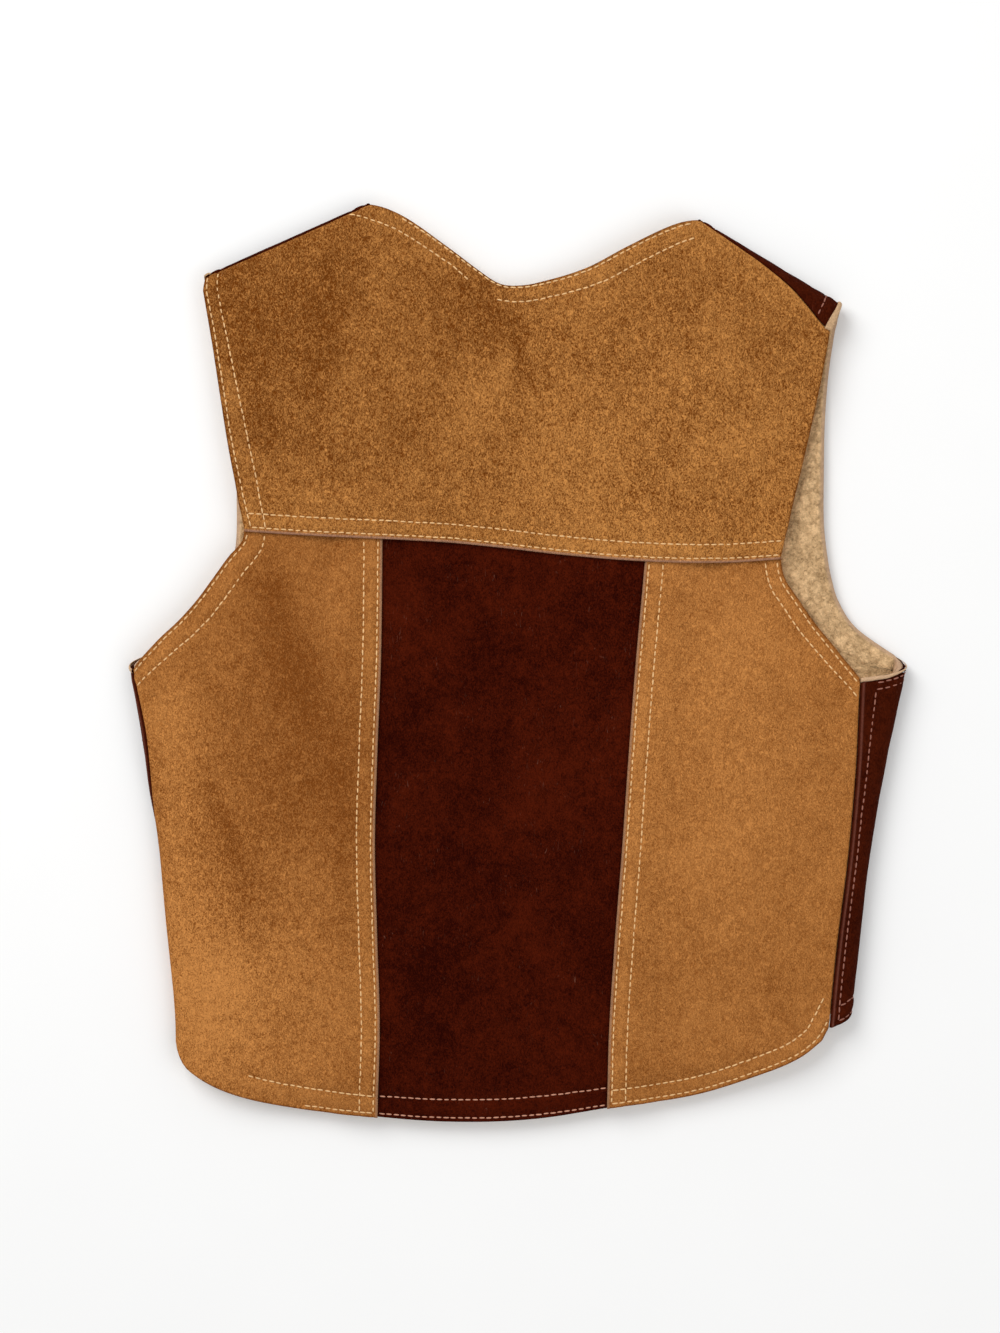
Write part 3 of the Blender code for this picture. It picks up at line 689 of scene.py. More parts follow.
def near(spots, edge):
    """Each spot's distance to an edge line, and the share of the way along the line where it is nearest."""
    starts, steps = edge[:-1], np.diff(edge, axis=0)
    lengths = np.maximum(np.hypot(steps[:, X], steps[:, Y]), 1e-6)
    run = np.concatenate([[0], np.cumsum(lengths)])
    nearest, share = np.full(spots.shape[:-1], np.inf), np.zeros(spots.shape[:-1])
    for start, step, length, before in zip(starts, steps, lengths, run):
        way = np.clip(((spots - start) @ step) / length**2, 0, 1)
        off = spots - start - way[..., None] * step
        away = np.hypot(off[..., X], off[..., Y])
        share = np.where(away < nearest, (before + way * length) / run[-1], share)
        nearest = np.minimum(nearest, away)
    return nearest, share


def distance_to(spots, edge):
    """Each spot's distance to an edge line."""
    return near(spots, edge)[0]


def inside(spots, loop):
    """Whether each spot lies inside a closed loop."""
    within = np.zeros(len(spots), bool)
    for start, end in zip(loop, np.roll(loop, -1, axis=0)):
        if start[Y] != end[Y]:
            crosses = (start[Y] > spots[:, Y]) != (end[Y] > spots[:, Y])
            at = start[X] + (spots[:, Y] - start[Y]) / (end[Y] - start[Y]) * (end[X] - start[X])
            within ^= crosses & (spots[:, X] < at)
    return within


def spaced(edge, gap):
    """An edge line's points at about this gap, evenly along it."""
    run = np.concatenate([[0], np.cumsum(np.linalg.norm(np.diff(edge, axis=0), axis=1))])
    at = np.linspace(0, run[-1], max(2, int(round(run[-1] / gap)) + 1))
    return np.stack([np.interp(at, run, edge[:, axis]) for axis in (X, Y)], axis=-1)


def offset(edge, row):
    """A stitch row's line in from an edge, which runs with the piece on its left, and its shares of the edge.

    The line runs straight on for a way past both ends of the edge.
    """
    edge = spaced(edge, 1.0)
    way = np.gradient(edge, axis=0)
    way /= np.linalg.norm(way, axis=1)[:, None]
    share = np.linspace(0, 1, len(edge))
    away = row_away(row, share)
    line_in = edge + away[:, None] * np.stack([-way[:, Y], way[:, X]], axis=-1)
    clear = distance_to(line_in, edge) > away - 0.3
    line_in, share, ways = line_in[clear], share[clear], way[clear]
    on = np.arange(1, RUN_ON + 1)[:, None]
    run = np.vstack([line_in[0] - ways[0] * on[::-1], line_in, line_in[-1] + ways[-1] * on])
    return run, np.concatenate([np.full(RUN_ON, share[0]), share, np.full(RUN_ON, share[-1])])


def row_away(row, share):
    """A stitch row's distance in from its border at these shares of the way along it."""
    return np.interp(share, np.linspace(0, 1, len(row.away)), row.away)


def grid_lines(length, step, sewn_start, sewn_end):
    """Shares of the way over a piece of about this length where its grid lines lie."""
    start = np.array(SEWN_STOPS if sewn_start else PLAIN_STOPS)
    end = length - np.array(SEWN_STOPS if sewn_end else PLAIN_STOPS)[::-1]
    steps = max(1, round((end[0] - start[-1]) / step))
    return np.concatenate([start, np.linspace(start[-1], end[0], steps + 1)[1:-1], end]) / length


def unevenness(spots, size, seed):
    """A soft uneven height between -1 and 1, with waves of about this size."""
    chance = np.random.default_rng(seed)
    total = np.zeros(spots.shape[:-1])
    waves = 7
    for _ in range(waves):
        turn = chance.uniform(0, math.tau)
        phase = chance.uniform(0, math.tau)
        stretch = chance.uniform(0.7, 1.5)
        way = np.array([math.cos(turn), math.sin(turn)]) * math.tau / (size * stretch)
        total += np.sin(spots @ way + phase)
    return total / waves


def shown(row, share):
    """1 along the stretch of a border where a stitch row shows, and 0 past its ends."""
    return fade(row.start - share, 0, 0.03) * fade(share - row.end, 0, 0.03)


def between_rows(away, share, border):
    """1 in the middle of the band between a border's two stitch rows, fading to its sides."""
    first, second = (row_away(row, share) for row in border.rows[:2])
    off = away - (first + second) / 2
    return np.exp(-((off / (BAND_HALF * (second - first))) ** 2)) * shown(border.rows[1], share)


def ridge(away):
    """1 on the top of the cut edge that stands up beside a ridged seam."""
    return np.exp(-(((away - RIDGE_AWAY) / RIDGE_HALF) ** 2))


def edge_profile(away, share, border, sizes):
    """Height of the suede over its plain thickness at these distances from a border and shares along it."""
    drops = {TURNED: sizes.turned_drop, RAW: sizes.raw_drop, HIDDEN: 0.0}
    drop = drops.get(border.make, sizes.seam_drop) / MM
    roll = (sizes.turned_roll if border.make == TURNED else sizes.raw_roll) / MM
    height = -drop * (1 - np.sqrt(1 - np.clip(1 - away / roll, 0, 1) ** 2))
    if border.make == RIDGED:
        height += RIDGE_HEIGHT * ridge(away)
    for row in border.rows:
        off = away - row_away(row, share)
        height -= sizes.press / MM * np.exp(-((off / PRESS_HALF) ** 2)) * shown(row, share)
    if len(border.rows) > 1:
        rim = 0.5 * np.exp(-((away / RIM_HALF) ** 2))
        height += sizes.puff / MM * (between_rows(away, share, border) + rim)
    return height


def relief(piece, spots):
    """Height of a suede piece's outer side over its plain surface."""
    sizes = bpy.context.scene.vest_suede
    slow = unevenness(spots, SLOW.size, len(piece.name))
    height = SLOW.height * slow + QUICK.height * unevenness(spots, QUICK.size, 7)
    tucked = np.ones(spots.shape[:-1])
    for border in piece.borders:
        away, share = near(spots, border.edge)
        height += edge_profile(away, share, border, sizes)
        if border.make == HIDDEN:
            tucked *= 1 - fade(away, LAP_UNDER + 1.0, LAP_UNDER + 3.0)
    return height * tucked + np.minimum(height, 0) * (1 - tucked)


def outer_side(piece, spots):
    """The outer surface of a piece, which nowhere reaches below the surface that the vest lies on."""
    points = place(spots, piece.depth(spots) - relief(piece, spots), piece.layer)
    points[..., 2] = np.maximum(points[..., 2], 0.0)
    return points


def nap_wear_and_painted_light(piece, spots):
    """How much lighter or darker than its plain colour each spot of a piece is: its brushed nap, its rubbed
    shoulder seam, painted shade at its edges and a painted highlight between stitch rows.
    """
    shade = np.zeros(len(spots))
    if piece.finish in ("caramel_suede", "tan_suede"):
        shade += heaps(NAP, spots[:, X], spots[:, Y])
    sizes = bpy.context.scene.vest_suede
    for border in piece.borders:
        away, share = near(spots, border.edge)
        if len(border.rows) > 1:
            # Painted highlight: the puffed band between two stitch rows is painted lighter
            shade += sizes.band * between_rows(away, share, border)
        if border.make in (TURNED, RAW):
            # Painted shade: the suede is painted darker at its very edge, where it rolls away from the light
            shade -= sizes.rim * fade(away, 0.2, 1.3)
        if border.make == WORN:
            shade += sizes.worn * fade(away, 0.6, 3.4)
    return shade


def to_world(points):
    """Metres in the part's frame, from the vest's own millimetres."""
    return (points - np.array([*ORIGIN, 0.0])) * MM


def find_origin():
    """Where the part's origin lies in the vest's own millimetres, from the yoke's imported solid."""
    patch = yoke_patch()
    ends = evenly(0, 1, 180)
    spots = patch.grid(ends, ends)
    lowest = place(spots, yoke_depth(spots), BACK).reshape(-1, 3).min(axis=0)
    return lowest[:2] - np.array(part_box("back_yoke")[0])[:2] / MM


ORIGIN = find_origin()


def grid_shell(name, across, up):
    """A closed shell of two like grids, and for each of its points its place in the grid and its side."""
    bm = bmesh.new()
    columns, rows = len(across), len(up)
    bmesh.ops.create_grid(bm, x_segments=columns - 1, y_segments=rows - 1, size=1)
    index, inner = bm.verts.layers.int.new("grid_index"), bm.verts.layers.int.new("grid_side")
    for vert in bm.verts:
        column = round((vert.co.x + 1) / 2 * (columns - 1))
        row = round((vert.co.y + 1) / 2 * (rows - 1))
        vert[index] = row * columns + column
    grown = bmesh.ops.extrude_face_region(bm, geom=bm.faces[:], use_keep_orig=True)
    for item in grown["geom"]:
        if isinstance(item, bmesh.types.BMVert):
            item[inner] = 1
            item.co.z = -1
    bmesh.ops.recalc_face_normals(bm, faces=bm.faces[:])
    mesh = bpy.data.meshes.new(name)
    bm.to_mesh(mesh)
    bm.free()
    places = np.empty(len(mesh.vertices), int)
    sides = np.empty(len(mesh.vertices), int)
    mesh.attributes["grid_index"].data.foreach_get("value", places)
    mesh.attributes["grid_side"].data.foreach_get("value", sides)
    mesh.attributes.remove(mesh.attributes["grid_index"])
    mesh.attributes.remove(mesh.attributes["grid_side"])
    return mesh, places, sides.astype(bool)


def dress(mesh, points, spots):
    """Moves a mesh's points to their places, lays its UV map over the spread-out cloth, and turns its faces
    outward.
    """
    mesh.vertices.foreach_set("co", to_world(points).astype(np.float32).ravel())
    corners = np.empty(len(mesh.loops), int)
    mesh.loops.foreach_get("vertex_index", corners)
    cloth = mesh.uv_layers.new(name="Cloth")
    cloth.data.foreach_set("uv", (spots[corners] * MM).astype(np.float32).ravel())
    bm = bmesh.new()
    bm.from_mesh(mesh)
    if bm.calc_volume(signed=True) < 0:
        bmesh.ops.reverse_faces(bm, faces=bm.faces[:])
    bm.to_mesh(mesh)
    bm.free()
    mesh.shade_smooth()


def paint(mesh, name, values):
    """A float attribute on a mesh's points, for its material."""
    mark = mesh.attributes.new(name, "FLOAT", "POINT")
    mark.data.foreach_set("value", np.asarray(values, np.float32).ravel())


def link(name, mesh, material):
    mesh.materials.append(material)
    piece = bpy.data.objects.new(name, mesh)
    bpy.context.scene.collection.objects.link(piece)
    return piece


def flat_area(spots):
    """Area of the spread-out cloth, in square metres."""
    one, two = spots[1:, 1:] - spots[:-1, :-1], spots[1:, :-1] - spots[:-1, 1:]
    return float(np.abs(one[..., X] * two[..., Y] - one[..., Y] * two[..., X]).sum() / 2 * MM * MM)


def sheet(name, mesh, spots, material):
    """Puts a cut piece's shell in the scene in place of its solid."""
    shell = link(name + "_cloth", mesh, material)
    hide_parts(name)
    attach(shell, "root")
    flat_area(spots)


def suede_shell(piece, material):
    """One cut piece of suede: an outer side with the relief of its edges and rows, and a plain inner side."""
    spots = piece.patch.grid(piece.across, piece.up)
    mesh, places, inner = grid_shell(piece.name, piece.across, piece.up)
    outer_points = outer_side(piece, spots).reshape(-1, 3)[places]
    inner_points = place(spots, piece.depth(spots) + SUEDE - 0.05, piece.layer).reshape(-1, 3)[places]
    on_mesh = spots.reshape(-1, 2)[places]
    dress(mesh, np.where(inner[:, None], inner_points, outer_points), on_mesh)
    raw = np.zeros(len(on_mesh))
    for border in piece.borders:
        if border.make in (RAW, RIDGED):
            away = distance_to(on_mesh, border.edge)
            raw = np.maximum(raw, fade(away, 0.7, 1.5) if border.make == RAW else ridge(away))
    paint(mesh, "raw", raw)
    # The nap attribute holds the brushed nap with painted shade at the edges and a painted highlight between
    # stitch rows
    paint(mesh, "nap", nap_wear_and_painted_light(piece, on_mesh))
    paint(mesh, "coarse", 1 + heaps(COARSE, on_mesh[:, X], on_mesh[:, Y]))
    sheet(piece.name, mesh, spots, material)


def turned_round(border):
    """The same border run the other way, with its rows."""
    rows = tuple(Row(row.away[::-1], 1 - row.end, 1 - row.start) for row in border.rows)
    return Border(border.edge[::-1], border.make, rows)


def grids(size, across_sewn, up_sewn):
    """A piece's grid lines across and up, with whether its two ends each way are sewn."""
    across = grid_lines(size.width, size.across, *across_sewn)
    return across, grid_lines(size.length, size.up, *up_sewn)


def back_pieces():
    """The yoke, the two side panels and the centre panel, each with its borders in turn."""
    yoke_low = yoke_line(yoke_corner(-1, YOKE_CORNER_IN)[0, X], yoke_corner(1, YOKE_CORNER_IN)[0, X])
    pieces = [Piece(
        "back_yoke", yoke_patch(), *grids(YOKE_GRID, (True, True), (True, True)), BACK, yoke_depth, (
            Border(yoke_low, RAW, TWIN), Border(yoke_side(1), TURNED, BARE),
            Border(shoulder_line(1, BACK)[::-1], WORN, BARE), Border(neck_line()[::-1], TURNED, NECK),
            Border(shoulder_line(-1, BACK), SEAMED, BARE), Border(yoke_side(-1)[::-1], TURNED, YOKE_ARMHOLE)),
        "caramel_suede", None)]
    ends = evenly(0, 1)
    for side in SIDES:
        patch = side_panel_patch(side)
        hem, style, top = patch.lower.at(ends), patch.right.at(ends), patch.upper.at(ends)
        seam, armhole = seam_line(side, BACK), back_armhole(side, YOKE_CORNER + 3)
        hem_rows, armhole_rows = (TWIN, RIGHT_ARMHOLE) if side > 0 else (LEFT_HEM, LEFT_ARMHOLE)
        loop = [Border(hem, TURNED, hem_rows), Border(style, RAW, TWIN), Border(top[::-1], HIDDEN, BARE),
                Border(armhole[::-1], TURNED, armhole_rows), Border(seam[::-1], SEAMED, BARE)]
        if side > 0:
            loop = [turned_round(border) for border in reversed(loop)]
        pieces.append(Piece(
            "back_side_" + name_of(side), patch, *grids(SIDE_GRID, (True, True), (True, False)), BACK,
            side_panel_depth(side), tuple(loop), "tan_suede", yoke_low))
    patch = centre_panel_patch()
    pieces.append(Piece(
        "back_centre", patch, *grids(CENTRE_GRID, (False, False), (True, False)), BACK, level, (
            Border(patch.lower.at(ends), TURNED, CENTRE_HEM), Border(patch.right.at(ends), HIDDEN, BARE),
            Border(patch.upper.at(ends)[::-1], HIDDEN, BARE),
            Border(patch.left.at(ends)[::-1], HIDDEN, BARE)),
        "oxblood_suede", yoke_low))
    return pieces


def front_pieces():
    """The two fronts, each with its borders in turn."""
    pieces = []
    for side in SIDES:
        edges = front_edges(side)
        armhole = np.vstack([edges["armhole"], edges["over"][1:]])
        loop = [Border(edges["hem"], TURNED, TWIN), Border(edges["seam"], RIDGED, SIDE_STRIP),
                Border(armhole, TURNED, STRIP_TOP), Border(edges["shoulder"][::-1], SEAMED, BARE),
                Border(edges["neck"][::-1], TURNED, TWIN), Border(edges["middle"][::-1], TURNED, TWIN)]
        if side < 0:
            loop = [turned_round(border) for border in reversed(loop)]
        pieces.append(Piece(
            "front_" + name_of(side), front_patch(side), *grids(FRONT_GRID, (True, True), (True, False)),
            FRONT, level, tuple(loop), "brown_suede", None))
    return pieces


def lumps(points, size, seed):
    """Round lumps of about this size, 1 at their middle and 0 in the creases between them."""
    heights = np.empty(len(points))
    shift = Vector((seed * 17.3, seed * 5.1, seed * 3.7))
    for i, point in enumerate(points):
        nearest = noise.voronoi(Vector((point[X] / size, point[Y] / size, 0.0)) + shift)[0]
        heights[i] = nearest[1] - nearest[0]
    return np.clip(heights * 1.6, 0, 1) ** 0.6


def pile_grid(length, step, fine, shows):
    """Shares of the way over a lining piece, close together over the stretches that show."""
    stops = [0.0]
    while stops[-1] < length - fine:
        here = stops[-1]
        stops.append(here + (fine if any(low <= here <= high for low, high in shows) else step))
    stops[-1] = length
    return np.array(stops) / length


def pile_grids(size):
    """A lining piece's grid lines across and up."""
    across = pile_grid(size.width, size.step, size.fine, size.shows_across)
    return across, pile_grid(size.length, size.step, size.fine, size.shows_up)


def lining_shell(name, patch, across, up, layer, material):
    """One piece of lining: a plain outer side against the suede, and curly lumps of pile on the inner one."""
    sizes = bpy.context.scene.vest_pile
    spots = patch.grid(across, up)
    mesh, places, inner = grid_shell(name, across, up)
    flat = spots.reshape(-1, 2)
    lump = CLUMP_SHARE * lumps(flat, sizes.clump / MM, 1) + CURL_SHARE * lumps(flat, sizes.curl / MM, 2)
    edges = [patch.left, patch.right, patch.lower, patch.upper]
    ends = evenly(0, 1, 80)
    bare = fade(np.min([distance_to(flat, edge.at(ends)) for edge in edges], axis=0), 0.6, 2.6)
    free = np.zeros(len(flat)) if layer == BACK else open_to_air(flat)
    loft = sizes.rise / MM * (PRESSED_LOFT + FREE_LOFT * free)
    rise = loft * (lump - LEVEL_LUMP) * (1 - bare) + FREE_RISE * free * (1 - bare)
    depth = SUEDE + PILE_CLEAR
    outer_points = place(flat, np.full(len(flat), depth), layer)[places]
    inner_points = place(flat, depth + PILE - BARE_DIP * bare + rise, layer)[places]
    dress(mesh, np.where(inner[:, None], inner_points, outer_points), flat[places])
    paint(mesh, "lump", lump[places])
    paint(mesh, "bare", bare[places])
    sheet(name, mesh, spots, material)


def turned_lining(side, material):
    """The lining's edge, turned out over a front's armhole edge."""
    edges = front_edges(side)
    edge = spaced(np.vstack([edges["armhole"], edges["over"][1:]]), 1.3)
    way = np.gradient(edge, axis=0)
    way /= np.linalg.norm(way, axis=1)[:, None]
    inward = np.stack([-way[:, Y], way[:, X]], axis=-1) * side
    up, across = np.linspace(0, 1, len(edge)), np.linspace(0, 1, 9)
    width = np.interp(up, np.linspace(0, 1, len(ROLL_WIDTH)), ROLL_WIDTH)
    full = np.clip(width / ROLL_FULL, 0, 1)[:, None]
    width = (width * (1 + 0.2 * unevenness(edge, 12.0, 5)))[:, None]
    reach = across * (width + ROLL_OVER * full) - ROLL_OVER * full
    spots = edge[:, None] + inward[:, None] * reach[..., None]
    name = "lining_front_" + name_of(side) + "_edge"
    mesh, places, inner = grid_shell(name, across, up)
    rise = full * ROLL_RISE * np.sin(math.pi * (0.08 + 0.86 * across)) ** 0.8
    outer_points = place(spots, -rise, FRONT).reshape(-1, 3)[places]
    inner_points = place(spots, ROLL_DEEP - rise, FRONT).reshape(-1, 3)[places]
    points = np.where(inner[:, None], inner_points, outer_points)
    points[:, 2] = np.maximum(points[:, 2], 0.02)
    dress(mesh, points, spots.reshape(-1, 2)[places])
    # Painted shade: near the shoulder the roll is painted darker, with lower lumps and less of its pale
    # backing
    shoulder = fade(1 - np.broadcast_to(up[:, None], rise.shape).reshape(-1)[places], 0.0, ROLL_SHADED)
    paint(mesh, "lump", 0.7 - 0.4 * shoulder)
    paint(mesh, "bare", 0.8 - 0.4 * shoulder)
    roll = link(name, mesh, material)
    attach(roll, "root")


def open_to_air(flat):
    """1 where a front's lining shows through an armhole, 0 where the back lies on it."""
    side = np.where(flat[:, X] < 0, -1, 1)
    left, right = (read(ARMHOLES, "back_" + name_of(way), flat[:, Y]) for way in SIDES)
    beyond = side * (flat[:, X] - np.where(side < 0, left, right))
    return (1 - fade(beyond, -1.0, 4.0)) * (flat[:, Y] > UNDERARM[-1] - 4)


def stitch_rows(piece):
    """Middle and direction of each stitch of a piece's topstitching, in spread-out coordinates."""
    middles, ways = [], []
    loop = np.vstack([border.edge for border in piece.borders])
    for border in piece.borders:
        for row in border.rows:
            line_in, shares = offset(border.edge, row)
            travelled = np.concatenate([[0], np.cumsum(np.linalg.norm(np.diff(line_in, axis=0), axis=1))])
            run = spaced(line_in, ROW_STEP)
            share = np.interp(np.linspace(0, travelled[-1], len(run)), travelled, shares)
            keep = (share >= row.start) & (share <= row.end) & inside(run, loop)
            for other in piece.borders:
                if other is not border:
                    away, along = near(run, other.edge)
                    room = row_away(other.rows[0], along) if other.rows else BORDER_CLEAR
                    keep &= away > room - ROW_CLEAR
            if piece.covered is not None:
                yoke = np.interp(run[:, X], piece.covered[:, X], piece.covered[:, Y])
                keep &= run[:, Y] < yoke - YOKE_CLEAR
            if piece.name == "back_centre":
                keep &= (past_style(run, -1) < -CLEAR) & (past_style(run, 1) < -CLEAR)
            run = run[keep]
            if len(run) < FEWEST_STEPS:
                continue
            ticks = spaced(run, bpy.context.scene.vest_stitching.pitch / MM)
            way = np.gradient(ticks, axis=0)
            middles.append(ticks[:-1] + np.diff(ticks, axis=0) / 2)
            ways.append((way[:-1] + way[1:]) / 2)
    ways = np.vstack(ways)
    return np.vstack(middles), ways / np.linalg.norm(ways, axis=1)[:, None]


def stitch_shape(sizes):
    """One stitch: a short fat thread along x that dives into the suede at both ends."""
    bm = bmesh.new()
    bmesh.ops.create_uvsphere(bm, u_segments=6, v_segments=6, radius=1)
    bmesh.ops.rotate(bm, verts=bm.verts[:], cent=(0, 0, 0),
                     matrix=Vector((0, 0, 1)).rotation_difference(Vector((1, 0, 0))).to_matrix())
    for vert in bm.verts:
        along = vert.co.x
        full = (1 - abs(along) ** 4) ** 0.5 / max((1 - along * along) ** 0.5, 0.2)
        vert.co.x = along * sizes.length / MM / 2
        vert.co.y *= sizes.width / MM / 2 * min(full, 1.3)
        vert.co.z = vert.co.z * sizes.width / MM / 2 * 0.8 - 0.34 * along * along
    mesh = bpy.data.meshes.new("stitch")
    bm.to_mesh(mesh)
    bm.free()
    return mesh


def stitch_axes(piece, middles, ways):
    """Where each stitch lies on the suede, and the directions along it, beside it and up from the suede."""
    here, ahead = outer_side(piece, middles), outer_side(piece, middles + ways * 0.4)
    depth = piece.depth(middles)
    up = place(middles, depth - 1.0, piece.layer) - place(middles, depth, piece.layer)
    forward = ahead - here
    forward /= np.linalg.norm(forward, axis=1)[:, None]
    beside = np.cross(up, forward)
    beside /= np.linalg.norm(beside, axis=1)[:, None]
    return here, forward, beside, np.cross(forward, beside)


def row_of(shape, count, material):
    """A mesh that holds this many copies of a shape, one after another."""
    row = link("stitch_row", shape, material)
    array = row.modifiers.new("Row", "ARRAY")
    array.count = count
    array.use_relative_offset = False
    array.use_constant_offset = True
    array.constant_offset_displace = (1.0, 0, 0)
    mesh = bpy.data.meshes.new_from_object(row.evaluated_get(bpy.context.evaluated_depsgraph_get()))
    bpy.data.objects.remove(row)
    return mesh


def sew(piece, material):
    """A piece's topstitching: one mesh, with a copy of the stitch at each place along its rows."""
    sizes = bpy.context.scene.vest_stitching
    middles, ways = stitch_rows(piece)
    count = len(middles)
    chance = np.random.default_rng(count)
    middles = middles + chance.normal(0, STITCH_STRAY, (count, 2))
    lean = chance.normal(0, STITCH_LEAN, count)
    ways = np.stack([ways[:, X] * np.cos(lean) - ways[:, Y] * np.sin(lean),
                     ways[:, X] * np.sin(lean) + ways[:, Y] * np.cos(lean)], axis=-1)
    here, forward, beside, up = stitch_axes(piece, middles, ways)
    shape = stitch_shape(sizes)
    mesh = row_of(shape, count, material)
    local = np.empty(len(shape.vertices) * 3)
    shape.vertices.foreach_get("co", local)
    bpy.data.meshes.remove(shape)
    long = 1 + chance.normal(0, STITCH_UNEVEN, count)
    local = local.reshape(-1, 3)[None] * np.stack([long, np.ones(count), np.ones(count)], axis=-1)[:, None]
    turned = (local[..., 0:1] * forward[:, None] + local[..., 1:2] * beside[:, None]
              + local[..., 2:3] * up[:, None])
    lift = np.full((count, 1), sizes.lift / MM) + chance.normal(0, STITCH_LOOSE, (count, 1))
    points = (here + up * lift)[:, None] + turned
    points[..., 2] = np.maximum(points[..., 2], 0.0)
    mesh.vertices.foreach_set("co", to_world(points).astype(np.float32).ravel())
    mesh.name = piece.name + "_stitches"
    mesh.shade_smooth()
    stitches = bpy.data.objects.new(mesh.name, mesh)
    bpy.context.scene.collection.objects.link(stitches)
    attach(stitches, "root")


# How much the cloth and the thread mirror
CLOTH_SHINE = 0.03


class Value:
    """A shader socket that can stand in sums, which then add their Math nodes."""

    def __init__(self, finish, socket):
        self.finish, self.socket = finish, socket

    def math(self, operation, *values, clamp=False):
        node = self.finish.node("ShaderNodeMath", {"operation": operation, "use_clamp": clamp},
                                dict(enumerate(values)))
        return Value(self.finish, node.outputs[0])

    def __add__(self, other):
        return self.math("ADD", self, other)

    def __radd__(self, other):
        return self.math("ADD", other, self)

    def __sub__(self, other):
        return self.math("SUBTRACT", self, other)

    def __rsub__(self, other):
        return self.math("SUBTRACT", other, self)

    def __mul__(self, other):
        return self.math("MULTIPLY", self, other)

    def __rmul__(self, other):
        return self.math("MULTIPLY", other, self)

    def clamped(self):
        return self.math("ADD", self, 0.0, clamp=True)

    def unsigned(self):
        return self.math("ABSOLUTE", self)


class Finish:
    """A material under construction, with one method that adds any node."""

    def __init__(self, name, roughness, sheen=0.0, sheen_tint=(1, 1, 1)):
        self.material = bpy.data.materials.new(name)
        self.material.use_nodes = True
        self.tree = self.material.node_tree
        self.shader = self.tree.nodes["Principled BSDF"]
        self.shader.inputs["Roughness"].default_value = roughness
        self.shader.inputs["Specular IOR Level"].default_value = CLOTH_SHINE
        self.shader.inputs["Sheen Weight"].default_value = sheen
        self.shader.inputs["Sheen Tint"].default_value = (*sheen_tint, 1)

    def fill(self, socket, value):
        if isinstance(value, Value):
            value = value.socket
        if isinstance(value, bpy.types.NodeSocket):
            self.tree.links.new(value, socket)
        elif socket.type == "RGBA" and len(value) == 3:
            socket.default_value = (*value, 1)
        else:
            socket.default_value = value

    def node(self, kind, settings, inputs):
        """Adds a node of this kind, with its settings and then the values or links of its sockets."""
        node = self.tree.nodes.new(kind)
        for name, value in settings.items():
            setattr(node, name, value)
        for socket, value in inputs.items():
            self.fill(node.inputs[socket], value)
        return node

    def where(self):
        return self.node("ShaderNodeTexCoord", {}, {}).outputs["Object"]

    def stretched(self, turn, stretch):
        """Object coordinates turned about z and squeezed across, for a grain that has a direction."""
        return self.node("ShaderNodeMapping", {}, {
            "Vector": self.where(), "Rotation": (0, 0, turn), "Scale": stretch}).outputs[0]

    def noise(self, size, detail, roughness, distortion=0.0, where=None):
        """Noise of about this size in metres."""
        node = self.node("ShaderNodeTexNoise", {"noise_dimensions": "3D"}, {
            "Vector": where or self.where(), "Scale": 1 / size, "Detail": detail, "Roughness": roughness,
            "Distortion": distortion})
        return Value(self, node.outputs["Fac"])

    def mark(self, name):
        return Value(self, self.node("ShaderNodeAttribute", {"attribute_name": name}, {}).outputs["Fac"])

    def mix(self, low, high, factor):
        node = self.node("ShaderNodeMix", {"data_type": "RGBA", "clamp_factor": True}, {
            0: factor, 6: low, 7: high})
        return node.outputs[2]

    def colour(self, value):
        self.fill(self.shader.inputs["Base Color"], value)

    def bump(self, height, distance):
        node = self.node("ShaderNodeBump", {}, {"Height": height, "Distance": distance, "Strength": 1.0})
        self.fill(self.shader.inputs["Normal"], node.outputs[0])


# How each suede looks: sizes of its grain, of its curling fibres and of its clumps of nap, then how strong
# its grain, its clumps, its clouds and its spread of colour are, the depth of its relief, the colour of its
# cut edge, and how much lint lies on it
Nap = namedtuple("Nap", "grain fibre clump speckle mottle cloud spread relief edge lint")
NAPS = {
    "caramel_suede": Nap(0.00062, 0.0017, 0.0042, 3.3, 1.1, 1.6, 0.60, 0.00050, (0.46, 0.24, 0.15), 0.0),
    "tan_suede": Nap(0.00060, 0.0015, 0.0036, 2.0, 0.9, 1.2, 0.52, 0.00035, (0.42, 0.22, 0.12), 0.0),
    "oxblood_suede": Nap(0.00070, 0.0016, 0.0036, 2.6, 1.6, 3.4, 0.58, 0.00020, (0.10, 0.03, 0.02), 0.7),
    "brown_suede": Nap(0.00070, 0.0016, 0.0036, 1.8, 1.3, 1.6, 0.56, 0.00020, (0.19, 0.06, 0.04), 0.5),
}

# How fast each colour channel darkens and lightens with the shade, which holds the brushed nap together with
# painted shade and painted highlights, and the colour of lint
DARKER = (0.85, 1.1, 1.45)
LIGHTER = (1.7, 2.2, 2.7)
LINT = (0.20, 0.085, 0.055)


